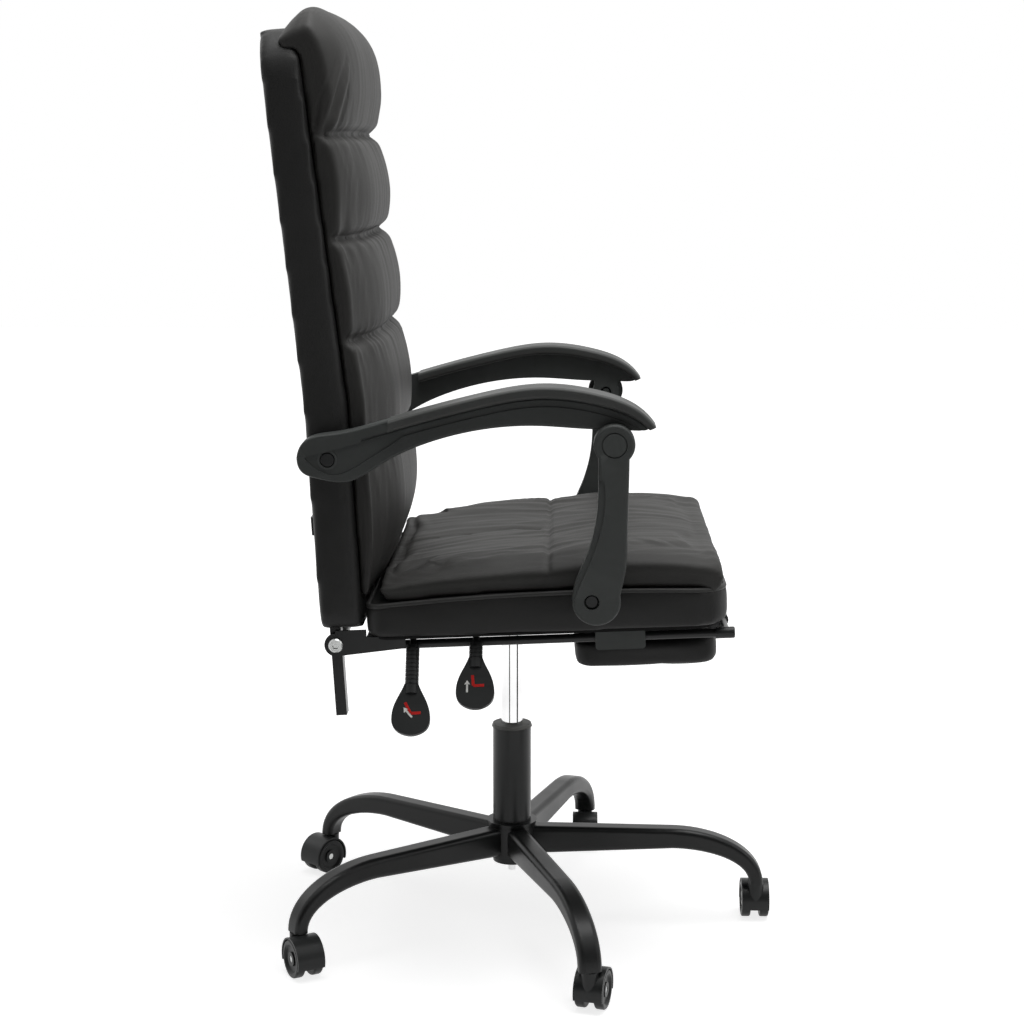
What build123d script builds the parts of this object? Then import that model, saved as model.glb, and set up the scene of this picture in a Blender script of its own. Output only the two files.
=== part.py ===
"""Reclining office chair on a five-leg base, with a slide-out footrest.

Millimetres, +Z up, +X to the front of the chair, +Y to the sitter's left.
The origin lies on the floor under the middle of the whole chair.
"""
from build123d import *
from math import cos, radians, sin, tan
import os

os.makedirs("parts", exist_ok=True)

# Arrangement: the column stands a little behind the middle of the chair
column_x = -20.0
seat_height = 445.0
seat_tilt = 2.5
back_lean = 3.4
overrun = 3.0

# Clearances
run_gap = 0.05
side_gap = 0.5
soft_gap = 0.3
link_play = 2.3

# Places of the four pivots of each arm linkage
hinge_u = -205.5
hinge_w = -8.0
arm_pivot_up = 229.0
arm_pivot_forward = 10.5
foot_u = 102.0
foot_w = 44.5
arm_reach = 333.0
arm_rise = 21.0

# Base
leg_count = 5
leg_turn = 360 / leg_count
tip_radius = 324.0
tip_depth = 18.0
tip_height = 52.0
leg_width = 28.5
leg_top = 131.0
leg_root_depth = 38.5
leg_flat_end = 212.0
leg_flat_drop = 3.0
leg_bend_depth = 27.0
leg_round = 7.0
leg_wall = 2.5
hub_radius = 31.0
hub_bottom = 90.0
hub_collar_radius = 33.0
hub_collar_height = 7.0
hub_top = 138.0
column_radius = 25.0
column_wall = 2.5
column_bottom = 82.0
column_top = 265.5
column_floor = 4.0
bush_length = 78.0
bush_flange_radius = 26.5
bush_flange = 4.0
bearing_radius = 14.0
bearing_height = 6.0

# Gas lift
cylinder_radius = 14.0
cylinder_wall = 2.0
cylinder_bottom = 176.0
cylinder_top = 430.0
cylinder_cap = 8.0
cylinder_head = 22.0
rod_radius = 5.0
rod_bottom = 68.0
rod_shoulder = 3.0
piston_height = 14.0
piston_gap = 12.0
clip_radius = 10.0
clip_height = 2.0
valve_radius = 3.5
valve_proud = 7.0
valve_length = 24.0

# Casters
wheel_radius = 24.0
wheel_width = 12.0
wheel_gap = 12.0
wheel_dish = 3.0
wheel_rim = 5.0
wheel_bore = 4.0
wheel_round = 2.5
caster_trail = 16.0
fender_gap = 0.8
fender_wall = 2.2
web_gap = 0.6
hood_neck_radius = 10.5
hood_top_gap = 0.5
stem_radius = 5.5
stem_up = 18.0
stem_down = 8.0
stem_tail_radius = 3.8
stem_tail = 13.0
axle_inset = 1.5
hood_skirt = 8.0
wheel_hub_radius = 9.0
wheel_hub_inset = 1.0
caster_names = ("front", "front_left", "rear_left", "rear_right", "front_right")
caster_trail_angles = (90.0, -90.0, -132.0, -60.0, 74.0)

# Mechanism under the seat
pan_rear = -128.0
pan_front = 72.0
pan_half_width = 78.0
pan_depth = 38.0
pan_wall = 2.5
pan_flange = 14.0
pan_round = 14.0
cup_radius = 21.0
cup_bottom = 404.0
cup_height = 28.5
bolt_radius = 3.0
bolt_head_radius = 6.0
bolt_head_height = 3.0
bolt_length = 16.0

# Hinge plates and bolts at the back of the seat
plate_y = 226.0
plate_thickness = 3.5
plate_end_radius = 14.0
plate_front_u = -122.0
plate_rise = 17.0
plate_flange = 36.0
plate_inset = 0.5
hinge_bolt_radius = 5.0
hinge_head_radius = 8.5
hinge_head = 5.0

# Back frame
bar_depth = 13.0
bar_width = 20.0
bar_y = 215.0
bar_tail = 88.0
bar_top = 262.0
bar_wall = 1.8
shaft_radius = 8.0
disc_radius = 18.0
disc_thickness = 2.0
disc_gap = 0.3
disc_count = 4
disc_y = -30.0
strap_up = 145.0
strap_height = 22.0
strap_thickness = 2.5
strap_half = 226.0
lock_front_u = -144.0
lock_block_length = 20.0
lock_block_depth = 14.0

# Back shell
shell_half_width = 240.0
shell_rear = 16.5
shell_depth = 51.0
shell_top_depth = 45.0
shell_bottom = 18.0
shell_bend_up = 290.0
shell_top = 725.0
shell_bend = 3.0
shell_top_corner = 60.0
shell_bottom_corner = 22.0

# Back cushion
cushion_half_width = 233.0
crease_ups = (56.0, 230.0, 362.0, 480.0, 600.0, 750.0)
crease_depths = (46.0, 82.0, 75.0, 67.0, 59.5, 27.0)
bolster_peaks = (89.0, 89.0, 83.0, 78.0, 76.5)
cushion_wrap = 15.0
head_corner_drop = 48.0
head_rear_drop = 20.0
head_dome = 3.0
across_shares = (0.0, 0.55, 0.86, 1.0)
across_depth_shares = (1.0, 0.97, 0.82, 0.42)

# Seat base and cushion
base_rear = -168.0
base_front = 265.0
base_half_width = 243.0
base_rear_depth = 40.0
base_mid_depth = 50.0
base_front_depth = 43.0
base_mid_u = 80.0
base_front_corner = 45.0
base_rear_corner = 22.0
base_edge = 5.0
seat_rear = -146.0
seat_front = 257.0
seat_half_width = 237.0
seat_seam_u = 52.0
seat_seam_w = 79.0
seat_rear_w = 63.0
seat_rear_crown = 77.5
seat_front_crown = 89.0
seat_front_w = 79.0
seat_nose = 14.0
seat_bottom_w = 36.0
seat_backing_w = 50.0
seat_backing_inset = 4.0
seat_across_shares = (0.0, 0.1, 0.5, 0.9, 1.0)
seat_rear_height_shares = (0.9, 0.97, 1.0, 0.93, 0.62)
seat_front_height_shares = (1.0, 1.0, 0.99, 0.93, 0.62)

# Levers
lever_w = -7.0
lever_rod_radius = 4.0
lever_out = 212.0
lever_bend = 14.0
lever_slope = 60.0
lever_inner = 7.0
lift_overreach = 5.0
finger_y = 12.0
slot_height = 10.0
slot_width = 14.0
lift_lever_u = -38.0
back_lever_u = -114.0
lever_lug_y = 40.0
lug_width = 8.0
lug_radius = 8.0
finger_width = 10.0
finger_thickness = 3.5
finger_gap = 0.5
grip_start = 10.0
grip_radius = 8.2
grip_rib_pitch = 5.0
grip_rib_depth = 0.9
paddle_width = 46.0
paddle_length = 59.0
paddle_thickness = 8.0
lift_reach = 91.0
back_reach = 120.5
rod_in_grip = 20.0
paddle_corner = 5.0
paddle_wide_share = 0.66
paddle_foot_share = 0.68

# Arms
arm_height = 88.0
arm_y = 243.6
arm_width = 22.4
pad_thickness = 13.0
pad_width = 50.0
pad_start = 72.0
pad_edge = 4.0
arm_edge = 3.0
ridge_start = 40.0
ridge_drops = (0.0, 8.0)
ridge_width = 3.0
ridge_depth = 1.6
arm_lug_radius = 18.0
arm_lug_up = 48.0
arm_lug_neck_share = 0.9
arm_bolt_radius = 4.0
arm_bolt_in = 18.0
arm_bolt_head_radius = 8.0
arm_bolt_head = 4.0
boss_recess_radius = 9.0
boss_rim_radius = 12.0
boss_recess = 5.0

# Uprights
upright_thickness = 19.0
upright_head_radius = 24.0
upright_edge = 4.0
upright_boss_radius = 15.0
link_pin_radius = 5.0
foot_bolt_radius = 3.5
foot_bolt_in = 22.0
foot_recess_radius = 9.0
foot_recess = 8.0
foot_bolt_head = 4.0
foot_bolt_head_radius = 7.5
upright_width = 36.0
upright_foot_drop = 28.0
flange_step = 2.0
flange_top_share = 0.78
link_recess = 2.0
link_recess_radius = 15.0
link_groove = 1.5

# Footrest
rail_y = 200.0
rail_w = -17.0
rail_radius = 5.4
rail_rear = -158.0
rail_front = 250.0
cap_radius = 7.0
cap_length = 23.0
crossbar_u = 262.0
guide_rear_u = 105.0
guide_length = 60.0
guide_width = 22.0
guide_under = 8.0
guide_round = 4.0
pad_rear_u = 79.5
pad_front_u = 253.5
pad_half = 172.0
pad_bottom_w = -63.0
pad_top_w = -30.0
pad_corner = 22.0
strap_y = 120.0
strap_width = 26.0
strap_plate = 3.0
strap_length = 90.0
curl_radius = 8.5
rest_pad_edge = 9.0


# Frames: the seat's side plane, its level plane, and the back's side plane at the hinge
def turned(forward, up, angle):
    """Forward and up lengths in a frame turned up at its front, as level lengths."""
    slope = radians(angle)
    return (forward * cos(slope) - up * sin(slope), forward * sin(slope) + up * cos(slope))


def side_plane(x, z, angle):
    slope = radians(angle)
    return Plane(origin=(x, 0, z), x_dir=(cos(slope), 0, sin(slope)), z_dir=(0, -1, 0))


seat_side = side_plane(column_x, seat_height, seat_tilt)
seat_level = Plane(
    origin=(column_x, 0, seat_height),
    x_dir=(cos(radians(seat_tilt)), 0, sin(radians(seat_tilt))),
    z_dir=(-sin(radians(seat_tilt)), 0, cos(radians(seat_tilt))),
)
hinge_x, hinge_z = turned(hinge_u, hinge_w, seat_tilt)
hinge_x += column_x
hinge_z += seat_height
back_side = side_plane(hinge_x, hinge_z, back_lean)
back_face = Plane(
    origin=(hinge_x, 0, hinge_z),
    x_dir=(0, 1, 0),
    z_dir=(cos(radians(back_lean)), 0, sin(radians(back_lean))),
)
arm_x, arm_z = turned(arm_pivot_forward, arm_pivot_up, back_lean)
arm_x += hinge_x
arm_z += hinge_z
arm_side = side_plane(arm_x, arm_z, 0)
foot_x, foot_z = turned(foot_u, foot_w, seat_tilt)
foot_x += column_x
foot_z += seat_height
link_x = arm_x + arm_reach
link_z = arm_z + arm_rise


def save(shape, name):
    """Label a finished piece and write it as its own file."""
    shape.label = name
    export_step(shape, f"parts/{name}.step")


def both_sides(right):
    """A right-hand solid and its mirror image on the left."""
    return Compound([right, right.mirror(Plane.XZ)])


# Five-leg base: hub, bent tube legs, column tube and its bush
hub_axis = Plane(origin=(column_x, 0, 0), x_dir=(1, 0, 0), z_dir=(0, -1, 0))
with BuildPart() as base_hub:
    with BuildSketch(hub_axis):
        with BuildLine():
            collar_base = hub_top - hub_collar_height
            inner = column_radius + run_gap
            Polyline(
                (inner, hub_bottom), (hub_radius, hub_bottom), (hub_radius, collar_base),
                (hub_collar_radius, hub_top), (inner, hub_top), (inner, hub_bottom),
            )
        make_face()
    revolve(axis=Axis((column_x, 0, 0), (0, 0, 1)))
save(base_hub.part, "base_hub")

with BuildPart() as leg:
    with BuildSketch(hub_axis):
        with BuildLine():
            tip_out = tip_radius + tip_depth / 2
            tip_in = tip_radius - tip_depth / 2
            bend_top = leg_top - leg_flat_drop
            bend_bottom = bend_top - leg_bend_depth
            root = hub_radius / 2
            line_top = Line((root, leg_top), (leg_flat_end, bend_top))
            Spline(
                (leg_flat_end, bend_top), (tip_out, tip_height),
                tangents=(line_top % 1, (0, -1)), tangent_scalars=(1.25, 1.0),
            )
            Line((tip_out, tip_height), (tip_in, tip_height))
            Spline(
                (tip_in, tip_height), (leg_flat_end, bend_bottom),
                tangents=((0, 1), (-1, 0)), tangent_scalars=(0.9, 1.1),
            )
            Line((leg_flat_end, bend_bottom), (root, leg_top - leg_root_depth))
            Line((root, leg_top - leg_root_depth), (root, leg_top))
        make_face()
    extrude(amount=leg_width / 2, both=True)
    long_edges = leg.edges().filter_by(lambda e: e.length > tip_height)
    fillet(long_edges.filter_by(lambda e: abs(abs(e.center().Y) - leg_width / 2) < run_gap), leg_round)
    with BuildSketch(hub_axis):
        with BuildLine():
            Polyline(
                (root, leg_top - leg_wall), (leg_flat_end, bend_top - leg_wall),
                (leg_flat_end, bend_bottom + leg_wall),
                (root, leg_top - leg_root_depth + leg_wall), (root, leg_top - leg_wall),
            )
        make_face()
    extrude(amount=leg_width / 2 - leg_wall, both=True, mode=Mode.SUBTRACT)
    with Locations(Plane(origin=(column_x, 0, leg_top - leg_root_depth))):
        Cylinder(
            hub_radius, leg_root_depth, align=(Align.CENTER, Align.CENTER, Align.MIN),
            mode=Mode.SUBTRACT,
        )
    with Locations(Plane(origin=(column_x + tip_radius, 0, tip_height))):
        Cylinder(
            stem_radius + run_gap, stem_up + side_gap,
            align=(Align.CENTER, Align.CENTER, Align.MIN), mode=Mode.SUBTRACT,
        )
leg_axis = Axis((column_x, 0, 0), (0, 0, 1))
legs = [leg.part.rotate(leg_axis, leg_turn * turn) for turn in range(leg_count)]
save(Compound([piece.solid() for piece in legs]), "base_legs")

with BuildPart() as column_tube:
    with BuildSketch(Plane(origin=(column_x, 0, column_bottom))):
        Circle(column_radius)
    extrude(amount=column_top - column_bottom)
    with BuildSketch(Plane(origin=(column_x, 0, column_bottom + column_floor))):
        Circle(column_radius - column_wall)
    extrude(amount=column_top - column_bottom, mode=Mode.SUBTRACT)
    with BuildSketch(Plane(origin=(column_x, 0, column_bottom))):
        Circle(rod_radius + run_gap)
    extrude(amount=column_floor, mode=Mode.SUBTRACT)
save(column_tube.part, "column_tube")

with BuildPart() as guide_bush:
    with BuildSketch(Plane(origin=(column_x, 0, column_top - bush_length))):
        Circle(column_radius - column_wall - run_gap)
    extrude(amount=bush_length)
    with BuildSketch(Plane(origin=(column_x, 0, column_top))):
        Circle(bush_flange_radius)
    extrude(amount=bush_flange, taper=20)
    with BuildSketch(Plane(origin=(column_x, 0, column_top - bush_length))):
        Circle(cylinder_radius + run_gap)
    extrude(amount=bush_length + bush_flange, mode=Mode.SUBTRACT)
save(guide_bush.part, "guide_bush")

bearing_floor = column_bottom + column_floor
with BuildPart() as thrust_bearing:
    with BuildSketch(Plane(origin=(column_x, 0, bearing_floor))):
        Circle(bearing_radius)
        Circle(rod_radius + run_gap, mode=Mode.SUBTRACT)
    extrude(amount=bearing_height)
    fillet(thrust_bearing.edges().group_by(Axis.Z)[-1], run_gap * rod_radius)
save(thrust_bearing.part, "thrust_bearing")

# Piston rod: its shoulder stands on the bearing, and its clip holds it in the column
shoulder_foot = bearing_floor + bearing_height + run_gap
piston_foot = cylinder_bottom + cylinder_cap + piston_gap
with BuildPart() as piston_rod:
    with BuildSketch(Plane(origin=(column_x, 0, rod_bottom))):
        Circle(rod_radius)
    extrude(amount=piston_foot + piston_height - rod_bottom)
    with BuildSketch(Plane(origin=(column_x, 0, shoulder_foot))):
        Circle(bearing_radius)
    extrude(amount=rod_shoulder)
    with BuildSketch(Plane(origin=(column_x, 0, piston_foot))):
        Circle(cylinder_radius - cylinder_wall - run_gap)
    extrude(amount=piston_height)
save(piston_rod.part, "piston_rod")

with BuildPart() as rod_clip:
    with BuildSketch(Plane(origin=(column_x, 0, column_bottom - run_gap - clip_height))):
        Circle(clip_radius)
        Circle(rod_radius, mode=Mode.SUBTRACT)
        with Locations((clip_radius / 2, 0)):
            Rectangle(clip_radius, rod_radius, mode=Mode.SUBTRACT)
    extrude(amount=clip_height)
save(rod_clip.part, "rod_clip")

# Gas cylinder with its head, and the valve pin on top
head_foot = cylinder_top - cylinder_head
with BuildPart() as gas_cylinder:
    with BuildSketch(Plane(origin=(column_x, 0, cylinder_bottom))):
        Circle(cylinder_radius)
    extrude(amount=cylinder_top - cylinder_bottom)
    chamfer(gas_cylinder.edges().group_by(Axis.Z)[-1], cylinder_wall / 2)
    with BuildSketch(Plane(origin=(column_x, 0, cylinder_bottom + cylinder_cap))):
        Circle(cylinder_radius - cylinder_wall)
    extrude(amount=head_foot - cylinder_bottom - cylinder_cap, mode=Mode.SUBTRACT)
    with BuildSketch(Plane(origin=(column_x, 0, cylinder_bottom))):
        Circle(rod_radius + run_gap)
    extrude(amount=cylinder_cap, mode=Mode.SUBTRACT)
    with BuildSketch(Plane(origin=(column_x, 0, head_foot))):
        Circle(valve_radius + run_gap)
    extrude(amount=cylinder_head, mode=Mode.SUBTRACT)
save(gas_cylinder.part, "gas_cylinder")

with BuildPart() as valve_pin:
    with BuildSketch(Plane(origin=(column_x, 0, cylinder_top + valve_proud - valve_length))):
        Circle(valve_radius)
    extrude(amount=valve_length)
    fillet(valve_pin.edges().group_by(Axis.Z)[-1], valve_radius / 4)
save(valve_pin.part, "valve_pin")

# Casters: a pin in each leg, a hood that swivels on it, an axle and twin wheels
caster_width = wheel_gap + 2 * wheel_width
axle_height = wheel_radius
fender_inner = wheel_radius + fender_gap
fender_outer = fender_inner + fender_wall
web_width = wheel_gap - 2 * web_gap
stem_foot = tip_height - stem_down


def leg_tip(number):
    """The swivel axis of one caster as a point on the floor."""
    turn = radians(leg_turn * number)
    return (column_x + tip_radius * cos(turn), tip_radius * sin(turn))


def caster_plane(number, height):
    """A level plane on the swivel axis, with its X along the way the wheel trails."""
    x, y = leg_tip(number)
    trail = radians(caster_trail_angles[number])
    return Plane(origin=(x, y, height), x_dir=(cos(trail), sin(trail), 0), z_dir=(0, 0, 1))


def wheel_plane(number, aside):
    """An upright plane across the axle, set aside along its own normal."""
    level = caster_plane(number, axle_height)
    origin = level.from_local_coords((caster_trail, -aside, 0))
    return Plane(origin=origin, x_dir=level.x_dir, z_dir=-level.y_dir)


def make_hood(number):
    """The hood: a web between the wheels, a fender over them and a neck for the pin."""
    with BuildPart() as hood:
        with BuildSketch(wheel_plane(number, -caster_width / 2)):
            Circle(fender_outer)
        extrude(amount=caster_width)
        with BuildSketch(caster_plane(number, axle_height)):
            Circle(hood_neck_radius)
        extrude(amount=tip_height - hood_top_gap - axle_height)
        for foot in (-caster_width / 2 - overrun, web_width / 2):
            with BuildSketch(wheel_plane(number, foot)):
                Circle(fender_inner)
            extrude(amount=(caster_width - web_width) / 2 + overrun, mode=Mode.SUBTRACT)
        with BuildSketch(wheel_plane(number, -caster_width)):
            with Locations((0, -hood_skirt - fender_outer)):
                Rectangle(3 * fender_outer, 2 * fender_outer)
        extrude(amount=2 * caster_width, mode=Mode.SUBTRACT)
        with BuildSketch(wheel_plane(number, -web_width / 2)):
            Circle(wheel_hub_radius)
        extrude(amount=web_width)
        with BuildSketch(wheel_plane(number, -caster_width)):
            Circle(wheel_bore)
        extrude(amount=2 * caster_width, mode=Mode.SUBTRACT)
        with BuildSketch(caster_plane(number, stem_foot - run_gap)):
            Circle(stem_radius + run_gap)
        extrude(amount=tip_height, mode=Mode.SUBTRACT)
        with BuildSketch(caster_plane(number, stem_foot - stem_tail - side_gap)):
            Circle(stem_tail_radius + run_gap)
        extrude(amount=tip_height, mode=Mode.SUBTRACT)
    return hood.part


def make_stem(number):
    """The steel pin, pushed up into the leg's tip."""
    with BuildPart() as stem:
        with BuildSketch(caster_plane(number, stem_foot)):
            Circle(stem_radius)
        extrude(amount=stem_down + stem_up)
        chamfer(stem.edges().group_by(Axis.Z)[-1], stem_radius / 5)
        with BuildSketch(caster_plane(number, stem_foot - stem_tail)):
            Circle(stem_tail_radius)
        extrude(amount=stem_tail)
    return stem.part


def make_axle(number):
    with BuildPart() as axle:
        with BuildSketch(wheel_plane(number, axle_inset - caster_width / 2)):
            Circle(wheel_bore)
        extrude(amount=caster_width - 2 * axle_inset)
    return axle.part


def make_wheel(number, side):
    """One wheel: a rounded tread, a dished outer face and a raised hub."""
    level = caster_plane(number, axle_height)
    centre = level.from_local_coords((caster_trail, 0, 0))
    section = Plane(origin=centre, x_dir=(0, 0, 1), z_dir=level.x_dir)
    inner = wheel_gap / 2
    outer = inner + wheel_width
    bore = wheel_bore + run_gap
    rim = wheel_radius - wheel_rim
    with BuildPart() as wheel:
        with BuildSketch(section) as profile:
            with BuildLine():
                Polyline(
                    (bore, side * inner), (wheel_radius, side * inner),
                    (wheel_radius, side * outer), (rim, side * outer),
                    (rim - wheel_dish, side * (outer - wheel_dish)),
                    (wheel_hub_radius, side * (outer - wheel_dish)),
                    (wheel_hub_radius, side * (outer - wheel_hub_inset)),
                    (bore, side * (outer - wheel_hub_inset)), (bore, side * inner),
                )
            make_face()
            fillet(profile.vertices().group_by(Axis.X)[-1], wheel_round)
        revolve(axis=Axis(centre, level.y_dir))
    return wheel.part


stems = []
for number, caster_name in enumerate(caster_names):
    stems.append(make_stem(number).solid())
    save(make_hood(number), f"caster_{caster_name}_hood")
    save(make_axle(number), f"caster_{caster_name}_axle")
    save(make_wheel(number, 1), f"caster_{caster_name}_wheel_a")
    save(make_wheel(number, -1), f"caster_{caster_name}_wheel_b")
save(Compound(stems), "caster_stems")


# Mechanism pan: a pressed tray under the seat with the cup for the cylinder
pan_length = pan_front - pan_rear
pan_middle = (pan_front + pan_rear) / 2
pan_bolts = GridLocations(
    pan_length + pan_flange, 2 * pan_half_width + pan_flange, 2, 2
).locations
with BuildPart() as mechanism_pan:
    with BuildSketch(seat_level):
        with Locations((pan_middle, 0)):
            RectangleRounded(
                pan_length + 2 * pan_flange, 2 * (pan_half_width + pan_flange), pan_round
            )
    extrude(amount=-pan_wall)
    with BuildSketch(seat_level):
        with Locations((pan_middle, 0)):
            RectangleRounded(pan_length, 2 * pan_half_width, pan_round)
    extrude(amount=-pan_depth)
    with BuildSketch(seat_level):
        with Locations((pan_middle, 0)):
            RectangleRounded(
                pan_length - 2 * pan_wall, 2 * (pan_half_width - pan_wall), pan_round - pan_wall
            )
    extrude(amount=-(pan_depth - pan_wall), mode=Mode.SUBTRACT)
    with BuildSketch(Plane(origin=(column_x, 0, cup_bottom))):
        Circle(cup_radius)
    extrude(amount=cup_height)
    with BuildSketch(Plane(origin=(column_x, 0, cup_bottom - 2 * pan_depth))):
        Circle(cylinder_radius + run_gap)
    extrude(amount=4 * pan_depth, mode=Mode.SUBTRACT)
    for lever_u in (lift_lever_u, back_lever_u):
        with BuildSketch(seat_side.offset(lever_lug_y - lug_width / 2)):
            with Locations((lever_u, lever_w)):
                Circle(lug_radius - side_gap * 2)
            with Locations((lever_u, (lever_w - pan_depth) / 2)):
                Rectangle(lug_width, pan_depth + lever_w)
        extrude(amount=lug_width)
        with BuildSketch(seat_side.offset(cup_radius)):
            with Locations((lever_u, lever_w)):
                Circle(lever_rod_radius + run_gap)
        extrude(amount=2 * pan_half_width, mode=Mode.SUBTRACT)
    with BuildSketch(seat_side.offset(finger_y - slot_width / 2)):
        with Locations((pan_rear, lever_w - slot_height / 2 + finger_thickness / 2)):
            Rectangle(2 * pan_wall + overrun, slot_height)
    extrude(amount=slot_width, mode=Mode.SUBTRACT)
    with BuildSketch(seat_level):
        with Locations((pan_middle, 0)):
            with Locations(*pan_bolts):
                Circle(bolt_radius + run_gap)
    extrude(amount=-pan_wall, mode=Mode.SUBTRACT)
save(mechanism_pan.part, "mechanism_pan")

with BuildPart() as pan_bolt_set:
    with BuildSketch(seat_level.offset(-pan_wall)):
        with Locations((pan_middle, 0)):
            with Locations(*pan_bolts):
                RegularPolygon(bolt_head_radius, 6)
    extrude(amount=-bolt_head_height)
    with BuildSketch(seat_level.offset(-pan_wall)):
        with Locations((pan_middle, 0)):
            with Locations(*pan_bolts):
                Circle(bolt_radius)
    extrude(amount=pan_wall + bolt_length)
save(Compound(pan_bolt_set.part.solids()), "pan_bolts")


# Levers: a bent rod with a finger inside the pan, and a ribbed grip that ends in a paddle
def grip_plane(lever_u):
    """The grip's plane at the rod's bend: X to the front, normal down along the grip."""
    origin = seat_side.from_local_coords((lever_u, lever_w, lever_out))
    slope = radians(lever_slope)
    return Plane(origin=origin, x_dir=seat_side.x_dir, z_dir=(0, -cos(slope), -sin(slope)))


def make_rod(lever_u, inner, finger_end, finger_w, finger_middle):
    """A lever's rod. Its finger lies in a side plane, from the rod to finger_end."""
    down = grip_plane(lever_u)
    start = seat_side.from_local_coords((lever_u, lever_w, inner))
    bend = down.origin
    end = down.from_local_coords((0, 0, grip_start + rod_in_grip))
    with BuildPart() as rod:
        with BuildLine() as route:
            FilletPolyline(start, bend, end, radius=lever_bend)
        with BuildSketch(Plane(origin=start, x_dir=seat_side.x_dir, z_dir=(0, -1, 0))):
            Circle(lever_rod_radius)
        sweep(path=route.line)
        with BuildSketch(seat_side.offset(finger_middle - finger_width / 2)):
            with Locations(((lever_u + finger_end) / 2, finger_w)):
                Rectangle(abs(finger_end - lever_u), finger_thickness)
        extrude(amount=finger_width)
    return rod.part


def make_grip(lever_u, reach):
    """A ribbed neck on the rod's end, with a flat rounded paddle below it."""
    down = grip_plane(lever_u)
    neck = reach - paddle_length
    with BuildPart() as grip:
        with BuildSketch(down.offset(grip_start)):
            Circle(grip_radius)
        extrude(amount=neck - grip_start + grip_radius)
        ribs = int((neck - grip_start) / grip_rib_pitch)
        for rib in range(ribs):
            with BuildSketch(down.offset(grip_start + (rib + 1 / 2) * grip_rib_pitch)):
                Circle(grip_radius + overrun)
                Circle(grip_radius - grip_rib_depth, mode=Mode.SUBTRACT)
            extrude(amount=grip_rib_pitch / 3, mode=Mode.SUBTRACT)
        face = Plane(origin=down.origin, x_dir=down.x_dir, z_dir=down.y_dir)
        with BuildSketch(face.offset(-paddle_thickness / 2)) as outline:
            with BuildLine():
                half = paddle_width / 2
                shoulder = neck - grip_radius / 2
                widest = neck + paddle_length * paddle_wide_share
                Spline(
                    (-grip_radius, -shoulder), (-half, -widest),
                    tangents=((-1, -3), (0, -1)),
                )
                foot = ThreePointArc(
                    (-half * paddle_foot_share, -reach + paddle_corner),
                    (0, -reach), (half * paddle_foot_share, -reach + paddle_corner),
                )
                Spline((-half, -widest), foot @ 0, tangents=((0, -1), foot % 0))
                Spline(foot @ 1, (half, -widest), tangents=(foot % 1, (0, 1)))
                Spline(
                    (half, -widest), (grip_radius, -shoulder),
                    tangents=((0, 1), (-1, 3)),
                )
                Line((grip_radius, -shoulder), (-grip_radius, -shoulder))
            make_face()
        extrude(amount=paddle_thickness)
        with BuildSketch(down.offset(grip_start)):
            Circle(lever_rod_radius + run_gap)
        extrude(amount=rod_in_grip + side_gap, mode=Mode.SUBTRACT)
    return grip.part


valve_top = cylinder_top + valve_proud
lift_finger_w = valve_top - seat_height + finger_gap + finger_thickness / 2
save(make_rod(lift_lever_u, -lift_overreach, lift_overreach, lift_finger_w, 0), "lift_lever_rod")
back_finger_end = hinge_u + disc_radius + finger_gap
save(make_rod(back_lever_u, lever_inner, back_finger_end, lever_w, finger_y), "back_lever_rod")
save(make_grip(lift_lever_u, lift_reach), "lift_lever_grip")
save(make_grip(back_lever_u, back_reach), "back_lever_grip")

# Hinge plates at the rear corners of the seat, with the two hinge bolts
with BuildPart() as hinge_plate:
    with BuildSketch(seat_side.offset(plate_y)):
        with Locations((hinge_u, hinge_w)):
            Circle(plate_end_radius)
        with BuildLine():
            plate_rear = base_rear - plate_inset
            Polyline(
                (hinge_u, hinge_w - plate_end_radius), (plate_front_u, hinge_w - plate_end_radius / 2),
                (plate_front_u, 0), (plate_rear, 0), (plate_rear, hinge_w + plate_rise),
                (hinge_u, hinge_w + plate_rise), (hinge_u, hinge_w - plate_end_radius),
            )
        make_face()
    extrude(amount=plate_thickness)
    with BuildSketch(seat_level):
        with Locations(((plate_rear + plate_front_u) / 2, -(plate_y - plate_flange / 2))):
            Rectangle(plate_front_u - plate_rear, plate_flange)
    extrude(amount=-plate_thickness)
    with BuildSketch(seat_side.offset(plate_y)):
        with Locations((hinge_u, hinge_w)):
            Circle(hinge_bolt_radius + run_gap)
    extrude(amount=plate_thickness, mode=Mode.SUBTRACT)
save(both_sides(hinge_plate.part.solid()), "hinge_plates")

bar_inner = bar_y - bar_width / 2
with BuildPart() as hinge_bolt:
    with BuildSketch(seat_side.offset(bar_inner + side_gap)):
        with Locations((hinge_u, hinge_w)):
            Circle(hinge_bolt_radius)
    extrude(amount=plate_y + plate_thickness - bar_inner - side_gap)
    with BuildSketch(seat_side.offset(plate_y + plate_thickness)):
        with Locations((hinge_u, hinge_w)):
            Circle(hinge_head_radius)
    extrude(amount=hinge_head)
    chamfer(hinge_bolt.edges().group_by(Axis.Y)[0], hinge_head / 4)
    with BuildSketch(seat_side.offset(plate_y + plate_thickness + hinge_head / 2)):
        with Locations((hinge_u, hinge_w)):
            RegularPolygon(hinge_head_radius / 2, 6)
    extrude(amount=hinge_head, mode=Mode.SUBTRACT)
save(both_sides(hinge_bolt.part.solid()), "hinge_bolts")

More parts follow.
